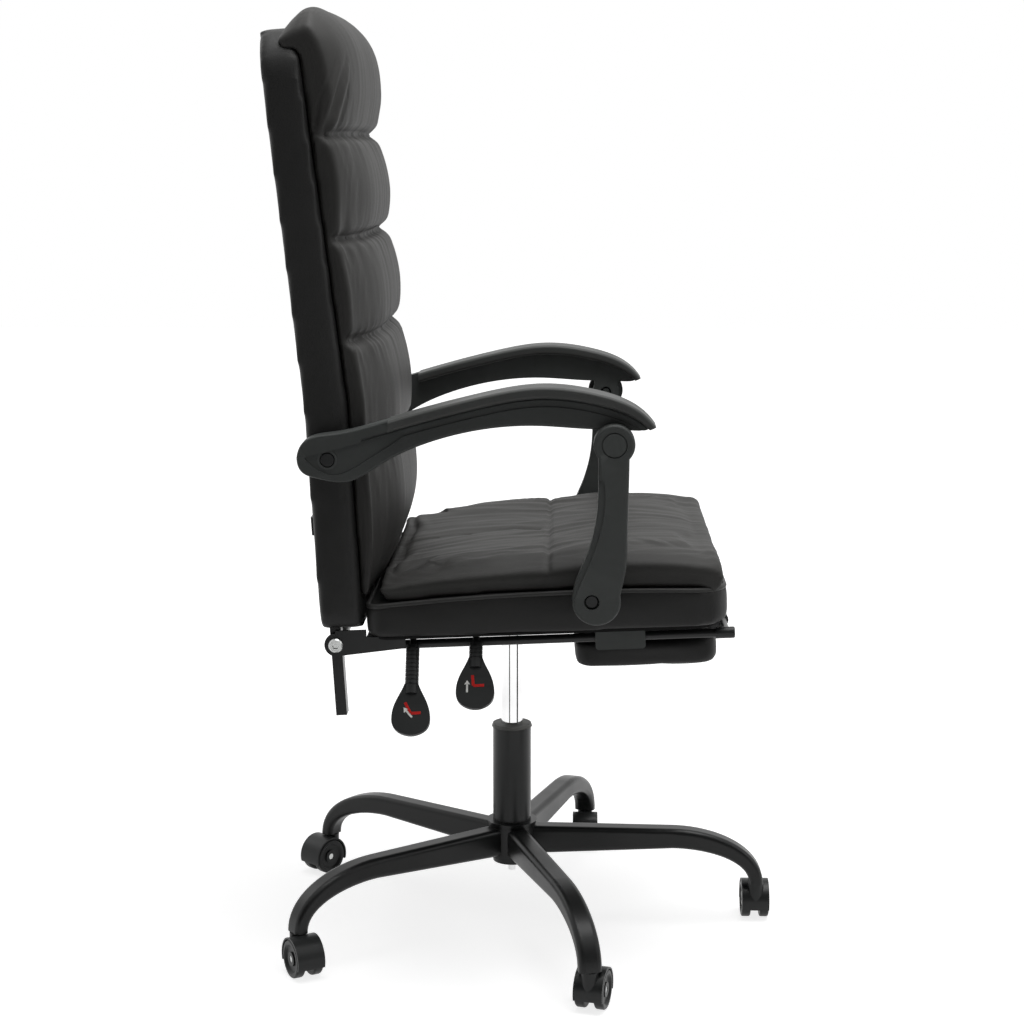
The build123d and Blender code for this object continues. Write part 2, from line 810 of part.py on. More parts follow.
# Friction lock: fixed plates between discs that turn with the back
disc_pitch = 2 * (disc_thickness + disc_gap)
lock_start = -disc_y - disc_pitch * disc_count / 2
with BuildPart() as lock_plates:
    for number in range(disc_count + 1):
        with BuildSketch(seat_side.offset(lock_start + number * disc_pitch)):
            with Locations((hinge_u, hinge_w)):
                Circle(disc_radius)
            with Locations(((hinge_u + lock_front_u) / 2, lock_block_depth / -2)):
                Rectangle(lock_front_u - hinge_u, lock_block_depth)
            with Locations((hinge_u, hinge_w)):
                Circle(shaft_radius + run_gap, mode=Mode.SUBTRACT)
        extrude(amount=disc_thickness)
    with BuildSketch(seat_side.offset(lock_start)):
        with Locations((lock_front_u - lock_block_length / 2, lock_block_depth / -2)):
            Rectangle(lock_block_length, lock_block_depth)
    extrude(amount=disc_pitch * disc_count + disc_thickness)
save(lock_plates.part, "lock_plates")

# Back frame: two square tubes, the hinge shaft with its lock discs, and the rear strap
with BuildPart() as back_frame:
    with BuildSketch(back_side.offset(bar_inner)):
        with Locations((0, (bar_top - bar_tail) / 2)):
            Rectangle(bar_depth, bar_top + bar_tail)
    extrude(amount=bar_width)
    with BuildSketch(back_side.offset(bar_inner + bar_wall)):
        with Locations((0, (bar_top - bar_tail) / 2)):
            Rectangle(bar_depth - 2 * bar_wall, bar_top + bar_tail)
    extrude(amount=bar_width - 2 * bar_wall, mode=Mode.SUBTRACT)
    mirror(about=Plane.XZ)
    with BuildSketch(back_side.offset(-bar_inner)):
        Circle(shaft_radius)
    extrude(amount=2 * bar_inner)
    for number in range(disc_count):
        with BuildSketch(back_side.offset(lock_start + number * disc_pitch + disc_thickness + disc_gap)):
            Circle(disc_radius)
        extrude(amount=disc_thickness)
    with BuildSketch(back_side.offset(-bar_inner - bar_width - overrun)):
        Circle(hinge_bolt_radius + run_gap)
    extrude(amount=bar_width + overrun, mode=Mode.SUBTRACT)
    with BuildSketch(back_side.offset(bar_inner)):
        Circle(hinge_bolt_radius + run_gap)
    extrude(amount=bar_width + overrun, mode=Mode.SUBTRACT)
save(back_frame.part, "back_frame")

with BuildPart() as back_strap:
    with BuildSketch(back_side.offset(-strap_half)):
        with Locations((-shell_rear - strap_thickness / 2, strap_up)):
            Rectangle(strap_thickness, strap_height)
    extrude(amount=2 * strap_half)
save(back_strap.part, "back_strap")

# Back shell: a slab that leans back a little more above its bend
shell_front = shell_depth - shell_rear
shell_top_rear = -shell_rear - (shell_top - shell_bend_up) * tan(radians(shell_bend))
with BuildPart() as back_shell:
    with BuildSketch(back_face.offset(-2 * shell_depth)):
        with Locations((0, (shell_top + shell_bottom) / 2)):
            RectangleRounded(2 * shell_half_width, shell_top - shell_bottom, shell_bottom_corner)
        with Locations((0, shell_top - shell_top_corner)):
            Rectangle(2 * shell_half_width, 2 * shell_top_corner, mode=Mode.SUBTRACT)
            with Locations((0, -shell_top_corner)):
                RectangleRounded(2 * shell_half_width, 4 * shell_top_corner, shell_top_corner)
    extrude(amount=4 * shell_depth)
    with BuildSketch(back_side.offset(-shell_half_width - overrun)):
        with BuildLine():
            Polyline(
                (-shell_rear, shell_bottom - overrun), (shell_front, shell_bottom - overrun),
                (shell_front, shell_bend_up), (shell_top_rear + shell_top_depth, shell_top + overrun),
                (shell_top_rear, shell_top + overrun), (-shell_rear, shell_bend_up),
                (-shell_rear, shell_bottom - overrun),
            )
        make_face()
    extrude(amount=2 * (shell_half_width + overrun), mode=Mode.INTERSECT)
    for side in (-1, 1):
        with BuildSketch(back_side.offset(side * bar_y - bar_width / 2 - run_gap)):
            with Locations((0, (shell_bottom + bar_top) / 2 - overrun)):
                Rectangle(bar_depth + 2 * run_gap, bar_top - shell_bottom + 2 * overrun)
        extrude(amount=bar_width + 2 * run_gap, mode=Mode.SUBTRACT)
    for foot in (shell_half_width - arm_bolt_in - side_gap, -shell_half_width - overrun):
        with BuildSketch(arm_side.offset(foot)):
            Circle(arm_bolt_radius + run_gap)
        extrude(amount=arm_bolt_in + side_gap + overrun, mode=Mode.SUBTRACT)
save(back_shell.part, "back_shell")


# Back cushion: five bolsters sewn across, each crowned and drawn in at its sides
def shell_face(up):
    """How far forward of the hinge the shell's front face lies at one height."""
    if up < shell_bend_up:
        return shell_front
    rise = (up - shell_bend_up) / (shell_top - shell_bend_up)
    return shell_front + (shell_top_rear + shell_top_depth - shell_front) * rise


def bolster_sketch(number, across_share, depth_share):
    """One bolster's side profile, at a share of the way out from the middle."""
    low, high = crease_ups[number], crease_ups[number + 1]
    head = number == len(bolster_peaks) - 1
    if head:
        high -= head_corner_drop * (1 - depth_share)
    middle = (low + high) / 2
    front_low = shell_face(low) + (crease_depths[number] - shell_face(low)) * depth_share
    front_high = shell_face(high) + (crease_depths[number + 1] - shell_face(high)) * depth_share
    peak = shell_face(middle) + (bolster_peaks[number] - shell_face(middle)) * depth_share
    rear = -cushion_wrap if head else shell_face(high) - 2 * overrun
    with BuildSketch(back_side.offset(across_share * cushion_half_width)) as sketch:
        with BuildLine():
            Line((rear, low), (front_low, low))
            ThreePointArc((front_low, low), (peak, middle), (front_high, high))
            if head:
                ThreePointArc(
                    (front_high, high), ((front_high + rear) / 2, high + head_dome * depth_share),
                    (rear, high - head_rear_drop * depth_share),
                )
                Line((rear, high - head_rear_drop * depth_share), (rear, low))
            else:
                Polyline((front_high, high), (rear, high), (rear, low))
        make_face()
    return sketch.sketch


across = [-share for share in reversed(across_shares[1:])] + list(across_shares)
depths = list(reversed(across_depth_shares[1:])) + list(across_depth_shares)
with BuildPart() as cushion_form:
    for number in range(len(bolster_peaks)):
        loft([bolster_sketch(number, share, depth) for share, depth in zip(across, depths)])
back_cushion = cushion_form.part - back_shell.part
save(back_cushion, "back_cushion")

# Bolts that carry the arms, through the shell's sides
with BuildPart() as arm_bolt:
    with BuildSketch(arm_side.offset(shell_half_width - arm_bolt_in)):
        Circle(arm_bolt_radius)
    extrude(amount=arm_bolt_in + arm_y - shell_half_width + arm_width - boss_recess)
    with BuildSketch(arm_side.offset(arm_y + arm_width - boss_recess)):
        Circle(arm_bolt_head_radius)
    extrude(amount=arm_bolt_head)
    fillet(arm_bolt.edges().group_by(Axis.Y)[0], arm_bolt_head / 4)
save(both_sides(arm_bolt.part.solid()), "arm_bolts")

# Seat base: an upholstered box with a slightly crowned top
with BuildPart() as seat_base_form:
    with BuildSketch(seat_level):
        with Locations(((base_rear + base_front) / 2, 0)):
            Rectangle(base_front - base_rear, 2 * base_half_width)
    extrude(amount=2 * base_mid_depth)
    uprights = seat_base_form.edges().filter_by(Axis((0, 0, 0), seat_level.z_dir))
    fillet(uprights.group_by(Axis.X)[-1], base_front_corner)
    fillet(uprights.group_by(Axis.X)[0], base_rear_corner)
    with BuildSketch(seat_side.offset(-base_half_width - overrun)):
        with BuildLine():
            top = ThreePointArc(
                (base_rear - overrun, base_rear_depth), (base_mid_u, base_mid_depth),
                (base_front + overrun, base_front_depth),
            )
            Polyline(top @ 1, (base_front + overrun, 0), (base_rear - overrun, 0), top @ 0)
        make_face()
    extrude(amount=2 * (base_half_width + overrun), mode=Mode.INTERSECT)
    fillet(seat_base_form.edges().group_by(Axis((0, 0, 0), seat_level.z_dir))[0], base_edge)
    with BuildSketch(seat_level):
        with Locations((pan_middle, 0)):
            with Locations(*pan_bolts):
                Circle(bolt_radius + run_gap)
    extrude(amount=bolt_length + side_gap, mode=Mode.SUBTRACT)
    with Locations(seat_side.offset(base_half_width).shift_origin(
            seat_side.from_local_coords((foot_u, foot_w, base_half_width)))):
        Cylinder(foot_bolt_radius + run_gap, 2 * (foot_bolt_in + side_gap), mode=Mode.SUBTRACT)
    with Locations(seat_side.offset(-base_half_width).shift_origin(
            seat_side.from_local_coords((foot_u, foot_w, -base_half_width)))):
        Cylinder(foot_bolt_radius + run_gap, 2 * (foot_bolt_in + side_gap), mode=Mode.SUBTRACT)
seat_base = seat_base_form.part
save(seat_base, "seat_base")


# Seat cushion: a front roll and two rear panels, sewn along the seams between them
def rear_panel_sketch(across_share, height_share):
    def up(height):
        return seat_bottom_w + (height - seat_bottom_w) * height_share

    with BuildSketch(seat_side.offset(across_share * seat_half_width)) as sketch:
        with BuildLine():
            middle = (seat_rear + seat_seam_u) / 2
            Line((seat_rear, seat_bottom_w), (seat_rear, up(seat_rear_w)))
            ThreePointArc(
                (seat_rear, up(seat_rear_w)), (middle, up(seat_rear_crown)),
                (seat_seam_u, up(seat_seam_w)),
            )
            Line((seat_seam_u, up(seat_seam_w)), (seat_seam_u, seat_bottom_w))
            Line((seat_seam_u, seat_bottom_w), (seat_rear, seat_bottom_w))
        make_face()
    return sketch.sketch


def front_roll_sketch(across_share, height_share):
    def up(height):
        return seat_bottom_w + (height - seat_bottom_w) * height_share

    shoulder = seat_front - seat_nose
    with BuildSketch(seat_side.offset(across_share * seat_half_width)) as sketch:
        with BuildLine():
            middle = (shoulder + seat_seam_u) / 2
            Line((seat_seam_u, seat_bottom_w), (seat_seam_u, up(seat_seam_w)))
            ThreePointArc(
                (seat_seam_u, up(seat_seam_w)), (middle, up(seat_front_crown)),
                (shoulder, up(seat_front_w)),
            )
            ThreePointArc(
                (shoulder, up(seat_front_w)),
                (seat_front, (up(seat_front_w) + seat_bottom_w) / 2),
                (shoulder, seat_bottom_w),
            )
            Line((shoulder, seat_bottom_w), (seat_seam_u, seat_bottom_w))
        make_face()
    return sketch.sketch


with BuildPart() as seat_form:
    with BuildSketch(seat_level.offset(seat_bottom_w)):
        with Locations(((seat_rear + seat_front - seat_nose) / 2, 0)):
            Rectangle(
                seat_front - seat_nose - seat_rear - 2 * seat_backing_inset,
                2 * (seat_half_width - seat_backing_inset),
            )
    extrude(amount=seat_backing_w - seat_bottom_w)
    for side in (1, -1):
        loft([
            rear_panel_sketch(side * share, height)
            for share, height in zip(seat_across_shares, seat_rear_height_shares)
        ])
    front_shares = [-share for share in reversed(seat_across_shares[1:])] + list(seat_across_shares)
    front_heights = (
        list(reversed(seat_front_height_shares[1:])) + list(seat_front_height_shares)
    )
    loft([front_roll_sketch(share, height) for share, height in zip(front_shares, front_heights)])
seat_cushion = (seat_form.part - seat_base).solids().sort_by(SortBy.VOLUME)[-1]
save(seat_cushion, "seat_cushion")


# Arms: a ridged body, a lug for the upright's pivot and a soft pad along the top
arm_top_shares = (
    (-0.108, 0.03), (-0.072, 0.27), (0.018, 0.35), (0.216, 0.535), (0.537, 0.862),
    (0.742, 0.985), (0.946, 0.898), (1.084, 0.693), (1.144, 0.466),
)
arm_under_shares = (
    (1.114, 0.416), (1.057, 0.408), (0.913, 0.42), (0.742, 0.458), (0.536, 0.405),
    (0.329, 0.198), (0.19, -0.055), (0.068, -0.295), (-0.04, -0.25), (-0.108, 0.03),
)
pocket_shares = (
    (-0.07, 0.05), (0.02, 0.13), (0.13, 0.25), (0.27, 0.36), (0.16, 0.05), (0.06, -0.17),
    (-0.02, -0.16),
)


def spread(shares, width, height):
    return [(width * x, height * y) for x, y in shares]


def arm_outline(lower=0.0):
    """The arm's whole side outline, flat on XY, moved down by lower."""
    top_points = [(x, y - lower) for x, y in spread(arm_top_shares, arm_reach, arm_height)]
    under_points = [(x, y - lower) for x, y in spread(arm_under_shares, arm_reach, arm_height)]
    with BuildSketch() as outline:
        with BuildLine():
            Spline(*top_points)
            Line(top_points[-1], under_points[0])
            Spline(*under_points, tangents=((-1, -0.3), (0, 1)))
        make_face()
    return outline.sketch


pad_clear = Pos(pad_start - arm_reach / 2, 0) * Rectangle(arm_reach, 4 * arm_height)
arm_whole = arm_outline()
pad_band = arm_whole - arm_outline(pad_thickness) - pad_clear
arm_core = arm_whole - pad_band
ridge_clear = Pos(ridge_start - arm_reach / 2, 0) * Rectangle(arm_reach, 4 * arm_height)
ridge_bands = [
    (arm_outline(pad_thickness + drop) - arm_outline(pad_thickness + drop + ridge_width))
    & arm_core - ridge_clear
    for drop in ridge_drops
]

with BuildPart() as arm_body:
    with BuildSketch(arm_side.offset(arm_y)):
        add(arm_core)
        with Locations((arm_reach, arm_rise)):
            Circle(arm_lug_radius)
        with Locations((arm_reach, (arm_rise + arm_lug_up) / 2)):
            Rectangle(2 * arm_lug_radius * arm_lug_neck_share, arm_lug_up - arm_rise)
    extrude(amount=arm_width)
    outline_edges = arm_body.faces().sort_by(Axis.Y)[0].edges().filter_by(GeomType.BSPLINE)
    fillet([edge for edge in outline_edges if edge.length > arm_width], arm_edge)
    with BuildSketch(arm_side.offset(arm_y + arm_width - ridge_depth)):
        with BuildLine():
            Spline(*spread(pocket_shares, arm_reach, arm_height), periodic=True)
        make_face()
    extrude(amount=ridge_depth + overrun, mode=Mode.SUBTRACT)
    with BuildSketch(arm_side.offset(arm_y + arm_width - boss_recess)):
        Circle(boss_rim_radius)
    extrude(amount=boss_recess - ridge_depth / 2)
    for band in ridge_bands:
        with BuildSketch(arm_side.offset(arm_y + arm_width - ridge_depth)):
            add(band)
        extrude(amount=ridge_depth + overrun, mode=Mode.SUBTRACT)
    with BuildSketch(arm_side.offset(arm_y - overrun)):
        Circle(arm_bolt_radius + run_gap)
    extrude(amount=arm_width + 2 * overrun, mode=Mode.SUBTRACT)
    with BuildSketch(arm_side.offset(arm_y + arm_width - boss_recess)):
        Circle(boss_recess_radius)
    extrude(amount=boss_recess + overrun, mode=Mode.SUBTRACT)
    with BuildSketch(arm_side.offset(arm_y - overrun)):
        with Locations((arm_reach, arm_rise)):
            Circle(link_pin_radius + link_play)
    extrude(amount=arm_width + 2 * overrun, mode=Mode.SUBTRACT)

pad_side = arm_y + arm_width / 2 - pad_width / 2
with BuildPart() as arm_pad:
    with BuildSketch(arm_side.offset(pad_side)):
        add(pad_band)
    extrude(amount=pad_width)
    side_edges = arm_pad.faces().sort_by(Axis.Y)[0].edges() + arm_pad.faces().sort_by(Axis.Y)[-1].edges()
    fillet(side_edges.filter_by(GeomType.BSPLINE), pad_edge)

# Uprights: a head on the arm's pivot and a foot bolted to the side of the seat
upright_side = side_plane(foot_x, foot_z, 0)
upright_rise = link_z - foot_z
upright_lean = link_x - foot_x
upright_y = arm_y + arm_width + side_gap
upright_rear_shares = ((-0.62, 0.03), (-0.22, 0.27), (0.13, 0.53), (0.18, 0.93))
upright_front_shares = ((1.18, 0.93), (1.14, 0.41), (1.1, 0.22), (0.92, 0.04))
flange_shares = ((-0.62, -0.02), (-0.5, 0.05), (-0.1, 0.24), (0.3, 0.48), (0.36, 0.78))
with BuildPart() as upright:
    with BuildSketch(upright_side.offset(upright_y)):
        with BuildLine():
            rear_points = spread(upright_rear_shares, upright_width, upright_rise)
            front_points = spread(upright_front_shares, upright_width, upright_rise)
            Spline(*rear_points, tangents=((0.1, 1), (0, 1)))
            Spline(*front_points, tangents=((0, -1), (-0.2, -1)))
            Line(rear_points[-1], front_points[0])
            ThreePointArc(
                front_points[-1], (upright_width / 6, -upright_foot_drop), rear_points[0]
            )
        make_face()
        with Locations((upright_lean, upright_rise)):
            Circle(upright_head_radius)
    extrude(amount=upright_thickness)
    fillet(upright.faces().sort_by(Axis.Y)[0].edges(), upright_edge)
    with BuildSketch(upright_side.offset(upright_y + upright_thickness - flange_step)):
        with BuildLine():
            flange_line = Spline(*spread(flange_shares, upright_width, upright_rise))
            Line(flange_line @ 1, (upright_lean - upright_width, upright_rise * flange_top_share))
            Line(
                (upright_lean - upright_width, upright_rise * flange_top_share),
                (-2 * upright_width, 0),
            )
            Line((-2 * upright_width, 0), flange_line @ 0)
        make_face()
    extrude(amount=flange_step + overrun, mode=Mode.SUBTRACT)
    with BuildSketch(upright_side.offset(base_half_width + soft_gap)):
        Circle(upright_boss_radius)
    extrude(amount=upright_y - base_half_width - soft_gap)
    with BuildSketch(upright_side.offset(arm_y)):
        with Locations((upright_lean, upright_rise)):
            Circle(link_pin_radius)
    extrude(amount=upright_y - arm_y)
    with BuildSketch(upright_side.offset(base_half_width)):
        Circle(foot_bolt_radius + run_gap)
    extrude(amount=upright_y + upright_thickness, mode=Mode.SUBTRACT)
    with BuildSketch(upright_side.offset(upright_y + upright_thickness - foot_recess)):
        Circle(foot_recess_radius)
    extrude(amount=foot_recess + overrun, mode=Mode.SUBTRACT)
    with BuildSketch(upright_side.offset(upright_y + upright_thickness - link_recess)):
        with Locations((upright_lean, upright_rise)):
            Circle(link_recess_radius)
            Circle(link_recess_radius - link_groove, mode=Mode.SUBTRACT)
    extrude(amount=link_recess + overrun, mode=Mode.SUBTRACT)

with BuildPart() as foot_bolt:
    with BuildSketch(upright_side.offset(base_half_width - foot_bolt_in)):
        Circle(foot_bolt_radius)
    extrude(amount=foot_bolt_in + upright_y + upright_thickness - foot_recess - base_half_width)
    with BuildSketch(upright_side.offset(upright_y + upright_thickness - foot_recess)):
        Circle(foot_bolt_head_radius)
    extrude(amount=foot_bolt_head)
    fillet(foot_bolt.edges().group_by(Axis.Y)[0], foot_bolt_head / 4)
save(both_sides(foot_bolt.part.solid()), "foot_bolts")

for side_name, turn in (("right", False), ("left", True)):
    for piece, piece_name in ((arm_body, "arm"), (arm_pad, "arm_pad"), (upright, "upright")):
        shape = piece.part.solid()
        shape = shape.mirror(Plane.XZ) if turn else shape
        save(shape, f"{piece_name}_{side_name}")


# Footrest: a frame of two rails and a crossbar, guides under the seat, and a pad that flips
with BuildPart() as footrest_frame:
    for side in (-1, 1):
        with BuildSketch(Plane(
            origin=seat_side.from_local_coords((rail_rear, rail_w, side * rail_y)),
            x_dir=(0, 1, 0), z_dir=seat_side.x_dir,
        )):
            Circle(rail_radius)
        extrude(amount=crossbar_u - rail_rear)
    with BuildSketch(seat_side.offset(-rail_y)):
        with Locations((crossbar_u, rail_w)):
            Circle(rail_radius)
    extrude(amount=2 * rail_y)
save(footrest_frame.part, "footrest_frame")

with BuildPart() as rail_cap:
    with BuildSketch(Plane(
        origin=seat_side.from_local_coords((rail_front, rail_w, rail_y)),
        x_dir=(0, 1, 0), z_dir=seat_side.x_dir,
    )):
        Circle(cap_radius)
    extrude(amount=cap_length)
    fillet(rail_cap.edges().filter_by(GeomType.CIRCLE).group_by(Axis.X)[-1], cap_radius / 4)
caps = both_sides((rail_cap.part - footrest_frame.part).solid())
save(caps, "rail_caps")

with BuildPart() as guide:
    with BuildSketch(seat_side.offset(rail_y - guide_width / 2)) as guide_profile:
        with Locations((guide_rear_u + guide_length / 2, 0)):
            Rectangle(
                guide_length, rail_radius + guide_under - rail_w,
                align=(Align.CENTER, Align.MAX),
            )
        fillet(guide_profile.vertices().group_by(Axis.Y)[0], guide_round)
    extrude(amount=guide_width)
    with BuildSketch(Plane(
        origin=seat_side.from_local_coords((guide_rear_u - overrun, rail_w, rail_y)),
        x_dir=(0, 1, 0), z_dir=seat_side.x_dir,
    )):
        Circle(rail_radius + run_gap)
    extrude(amount=guide_length + 2 * overrun, mode=Mode.SUBTRACT)
save(both_sides(guide.part.solid()), "footrest_guides")

with BuildPart() as pad_straps:
    for side in (-1, 1):
        with BuildSketch(seat_side.offset(side * strap_y - strap_width / 2)):
            with Locations((crossbar_u, rail_w)):
                Circle(curl_radius)
            with BuildLine():
                strap_back = pad_front_u - strap_length
                Polyline(
                    (strap_back, pad_top_w), (pad_front_u, pad_top_w),
                    (crossbar_u, rail_w - curl_radius), (crossbar_u - curl_radius, rail_w),
                    (pad_front_u - curl_radius, pad_top_w + strap_plate),
                    (strap_back, pad_top_w + strap_plate), (strap_back, pad_top_w),
                )
            make_face()
            with Locations((crossbar_u, rail_w)):
                Circle(rail_radius + run_gap, mode=Mode.SUBTRACT)
        extrude(amount=strap_width)
save(Compound(pad_straps.part.solids()), "pad_straps")

with BuildPart() as footrest_pad:
    with BuildSketch(seat_level.offset(pad_bottom_w)):
        with Locations(((pad_rear_u + pad_front_u) / 2, 0)):
            RectangleRounded(pad_front_u - pad_rear_u, 2 * pad_half, pad_corner)
    extrude(amount=pad_top_w - pad_bottom_w)
    rims = footrest_pad.edges().group_by(Axis((0, 0, 0), seat_level.z_dir))
    fillet(rims[0], rest_pad_edge)
    fillet(rims[-1], rest_pad_edge / 3)
save(footrest_pad.part, "footrest_pad")
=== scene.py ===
"""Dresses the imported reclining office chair: leather forms, finishes, camera, light and floor."""
import abc
import enum
import logging
import math
from dataclasses import dataclass, field
from typing import Optional

import bmesh
import bpy
from mathutils import Matrix, Vector, noise


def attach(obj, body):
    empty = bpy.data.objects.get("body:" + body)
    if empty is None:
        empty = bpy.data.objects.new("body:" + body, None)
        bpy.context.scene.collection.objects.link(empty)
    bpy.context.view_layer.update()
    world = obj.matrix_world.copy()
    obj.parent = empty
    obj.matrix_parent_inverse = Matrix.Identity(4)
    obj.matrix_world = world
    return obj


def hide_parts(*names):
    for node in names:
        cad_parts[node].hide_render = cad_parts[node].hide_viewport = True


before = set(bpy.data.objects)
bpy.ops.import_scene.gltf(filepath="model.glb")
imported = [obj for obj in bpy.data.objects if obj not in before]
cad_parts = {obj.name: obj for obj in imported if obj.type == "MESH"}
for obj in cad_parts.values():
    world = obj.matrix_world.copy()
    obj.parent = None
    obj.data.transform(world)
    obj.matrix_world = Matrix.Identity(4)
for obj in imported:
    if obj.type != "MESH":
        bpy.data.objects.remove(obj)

Pair = tuple[float, float]
Triple = tuple[float, float, float]
Outline = list[Pair]
Socket = bpy.types.NodeSocket

LOG = logging.getLogger("office_chair")
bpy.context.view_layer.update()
MERGE_GAP = 1e-5
CORNER_PARTS = 8
NOISE_SPAN = (0.3, 0.7)
OUTER_EDGE_SPAN = (0.52, 0.62)
RIDGE_GAIN = 2.2


@dataclass(frozen=True)
class LocalFrame:
    """A frame turned about the chair's Y axis."""

    origin: Vector
    turn: float

    def inside(self, point: Vector) -> Vector:
        """Carries a point into this frame.

        Args:
            point: a point in the chair's own frame.

        Returns:
            The point as (forward, across, up).
        """
        gap = point - self.origin
        cosine, sine = math.cos(self.turn), math.sin(self.turn)
        return Vector((gap.x * cosine + gap.z * sine, gap.y, gap.z * cosine - gap.x * sine))

    def outside(self, point: Vector) -> Vector:
        """Carries a point out of this frame.

        Args:
            point: a point as (forward, across, up).

        Returns:
            The point in the chair's own frame.
        """
        cosine, sine = math.cos(self.turn), math.sin(self.turn)
        return self.origin + Vector(
            (point.x * cosine - point.z * sine, point.y, point.x * sine + point.z * cosine)
        )


BACK = LocalFrame(origin=Vector((-0.22496, 0.0, 0.42804)), turn=math.radians(3.4))
SEAT = LocalFrame(origin=Vector((-0.020, 0.0, 0.445)), turn=math.radians(2.5))


class NodeSheet:
    """A sheet on which the nodes of one procedural material are laid out."""

    def __init__(self, name: str) -> None:
        """Starts a material with a principled shader.

        Args:
            name: the material's name.
        """
        self.material = bpy.data.materials.new(name)
        self.material.use_nodes = True
        self.nodes = self.material.node_tree.nodes
        self.links = self.material.node_tree.links
        self.shader = self.nodes["Principled BSDF"]
        self.place = self.nodes.new("ShaderNodeTexCoord").outputs["Object"]

    def stretched(self, scale: Triple) -> Socket:
        """Scales the object coordinates along each axis.

        Args:
            scale: how often a pattern repeats per metre along X, Y and Z.

        Returns:
            The scaled coordinates.
        """
        node = self.nodes.new("ShaderNodeMapping")
        node.inputs["Scale"].default_value = scale
        self.links.new(self.place, node.inputs["Vector"])
        return node.outputs["Vector"]

    def noise(self, vector: Socket, scale: float, detail: float, rough: float = 0.5) -> Socket:
        """Adds a noise texture.

        Args:
            vector: the coordinates that it reads.
            scale: its repeats per metre.
            detail: its number of finer layers.
            rough: the strength of the finer layers.

        Returns:
            Its value, from 0 to 1.
        """
        node = self.nodes.new("ShaderNodeTexNoise")
        node.inputs["Scale"].default_value = scale
        node.inputs["Detail"].default_value = detail
        node.inputs["Roughness"].default_value = rough
        self.links.new(vector, node.inputs["Vector"])
        return node.outputs["Fac"]

    def pebbles(self, scale: float) -> Socket:
        """Adds a texture of soft-edged cells.

        Args:
            scale: its cells per metre.

        Returns:
            The distance from the nearest cell's middle.
        """
        node = self.nodes.new("ShaderNodeTexVoronoi")
        node.feature = "SMOOTH_F1"
        node.inputs["Scale"].default_value = scale
        self.links.new(self.place, node.inputs["Vector"])
        return node.outputs["Distance"]

    def span(self, value: Socket, source: Pair, target: Pair = (0.0, 1.0)) -> Socket:
        """Maps a value from one span to another, held at its ends.

        Args:
            value: the value to map.
            source: the span that it comes from.
            target: the span that it goes to.

        Returns:
            The mapped value.
        """
        node = self.nodes.new("ShaderNodeMapRange")
        for socket, number in zip(node.inputs[1:5], (*source, *target)):
            socket.default_value = number
        self.links.new(value, node.inputs["Value"])
        return node.outputs["Result"]

    def blend(self, factor: Socket, first: Triple, second: Triple) -> Socket:
        """Mixes two colours.

        Args:
            factor: how much of the second colour shows.
            first: the colour at 0.
            second: the colour at 1.

        Returns:
            The mixed colour.
        """
        node = self.nodes.new("ShaderNodeMix")
        node.data_type = "RGBA"
        node.inputs["A"].default_value = (*first, 1.0)
        node.inputs["B"].default_value = (*second, 1.0)
        self.links.new(factor, node.inputs["Factor"])
        return node.outputs["Result"]

    def bump(
        self, height: Socket, strength: float, distance: float, under: Optional[Socket] = None
    ) -> Socket:
        """Raises the surface by a height.

        Args:
            height: the height, from 0 to 1.
            strength: how strongly it shows.
            distance: the height in metres at 1.
            under: a normal to raise it over.

        Returns:
            The raised normal.
        """
        node = self.nodes.new("ShaderNodeBump")
        node.inputs["Strength"].default_value = strength
        node.inputs["Distance"].default_value = distance
        self.links.new(height, node.inputs["Height"])
        if under is not None:
            self.links.new(under, node.inputs["Normal"])
        return node.outputs["Normal"]

    def worn(self) -> Socket:
        """Returns a factor that is high along outer edges."""
        node = self.nodes.new("ShaderNodeNewGeometry")
        return self.span(node.outputs["Pointiness"], OUTER_EDGE_SPAN)

    def finish(self, colour: Socket, roughness: Socket, normal: Socket) -> bpy.types.Material:
        """Links what was made into the shader.

        Args:
            colour: the base colour.
            roughness: the roughness.
            normal: the surface normal.

        Returns:
            The finished material.
        """
        for socket, value in (("Base Color", colour), ("Roughness", roughness), ("Normal", normal)):
            self.links.new(value, self.shader.inputs[socket])
        return self.material


def toned(colour: Triple, gain: float) -> Triple:
    """Returns a colour made lighter or darker by a gain."""
    return tuple(gain * part for part in colour)


@dataclass(frozen=True)
class Leather:
    """A coated leather with a pebbled grain and fine stretch wrinkles."""

    name: str
    colour: Triple = (0.030, 0.0295, 0.028)
    gloss: Pair = (0.50, 0.66)
    specular: float = 0.22
    tone_rate: float = 9.0
    tone_span: Pair = (0.35, 0.70)
    tone_gain: float = 1.35
    grain: float = 620.0
    grain_depth: float = 0.00016
    grain_strength: float = 0.5
    pores_per_grain: float = 3.0
    streaks: Triple = (16.0, 90.0, 14.0)
    streak_depth: float = 0.0006
    streak_strength: float = 0.55
    streak_roughness: float = 0.55

    def build(self) -> bpy.types.Material:
        """Builds the material with its grain, streaks and worn tone.

        Returns:
            The material.
        """
        sheet = NodeSheet(self.name)
        broad = sheet.noise(sheet.place, self.tone_rate, detail=5.0)
        pores = sheet.noise(sheet.place, self.grain * self.pores_per_grain, detail=3.0)
        streak = sheet.noise(
            sheet.stretched(self.streaks), 1.0, detail=4.0, rough=self.streak_roughness
        )
        pale = toned(self.colour, self.tone_gain)
        colour = sheet.blend(sheet.span(broad, self.tone_span), self.colour, pale)
        normal = sheet.bump(streak, self.streak_strength, self.streak_depth)
        normal = sheet.bump(
            sheet.pebbles(self.grain), self.grain_strength, self.grain_depth, normal
        )
        sheet.shader.inputs["Specular IOR Level"].default_value = self.specular
        return sheet.finish(colour, sheet.span(pores, NOISE_SPAN, self.gloss), normal)


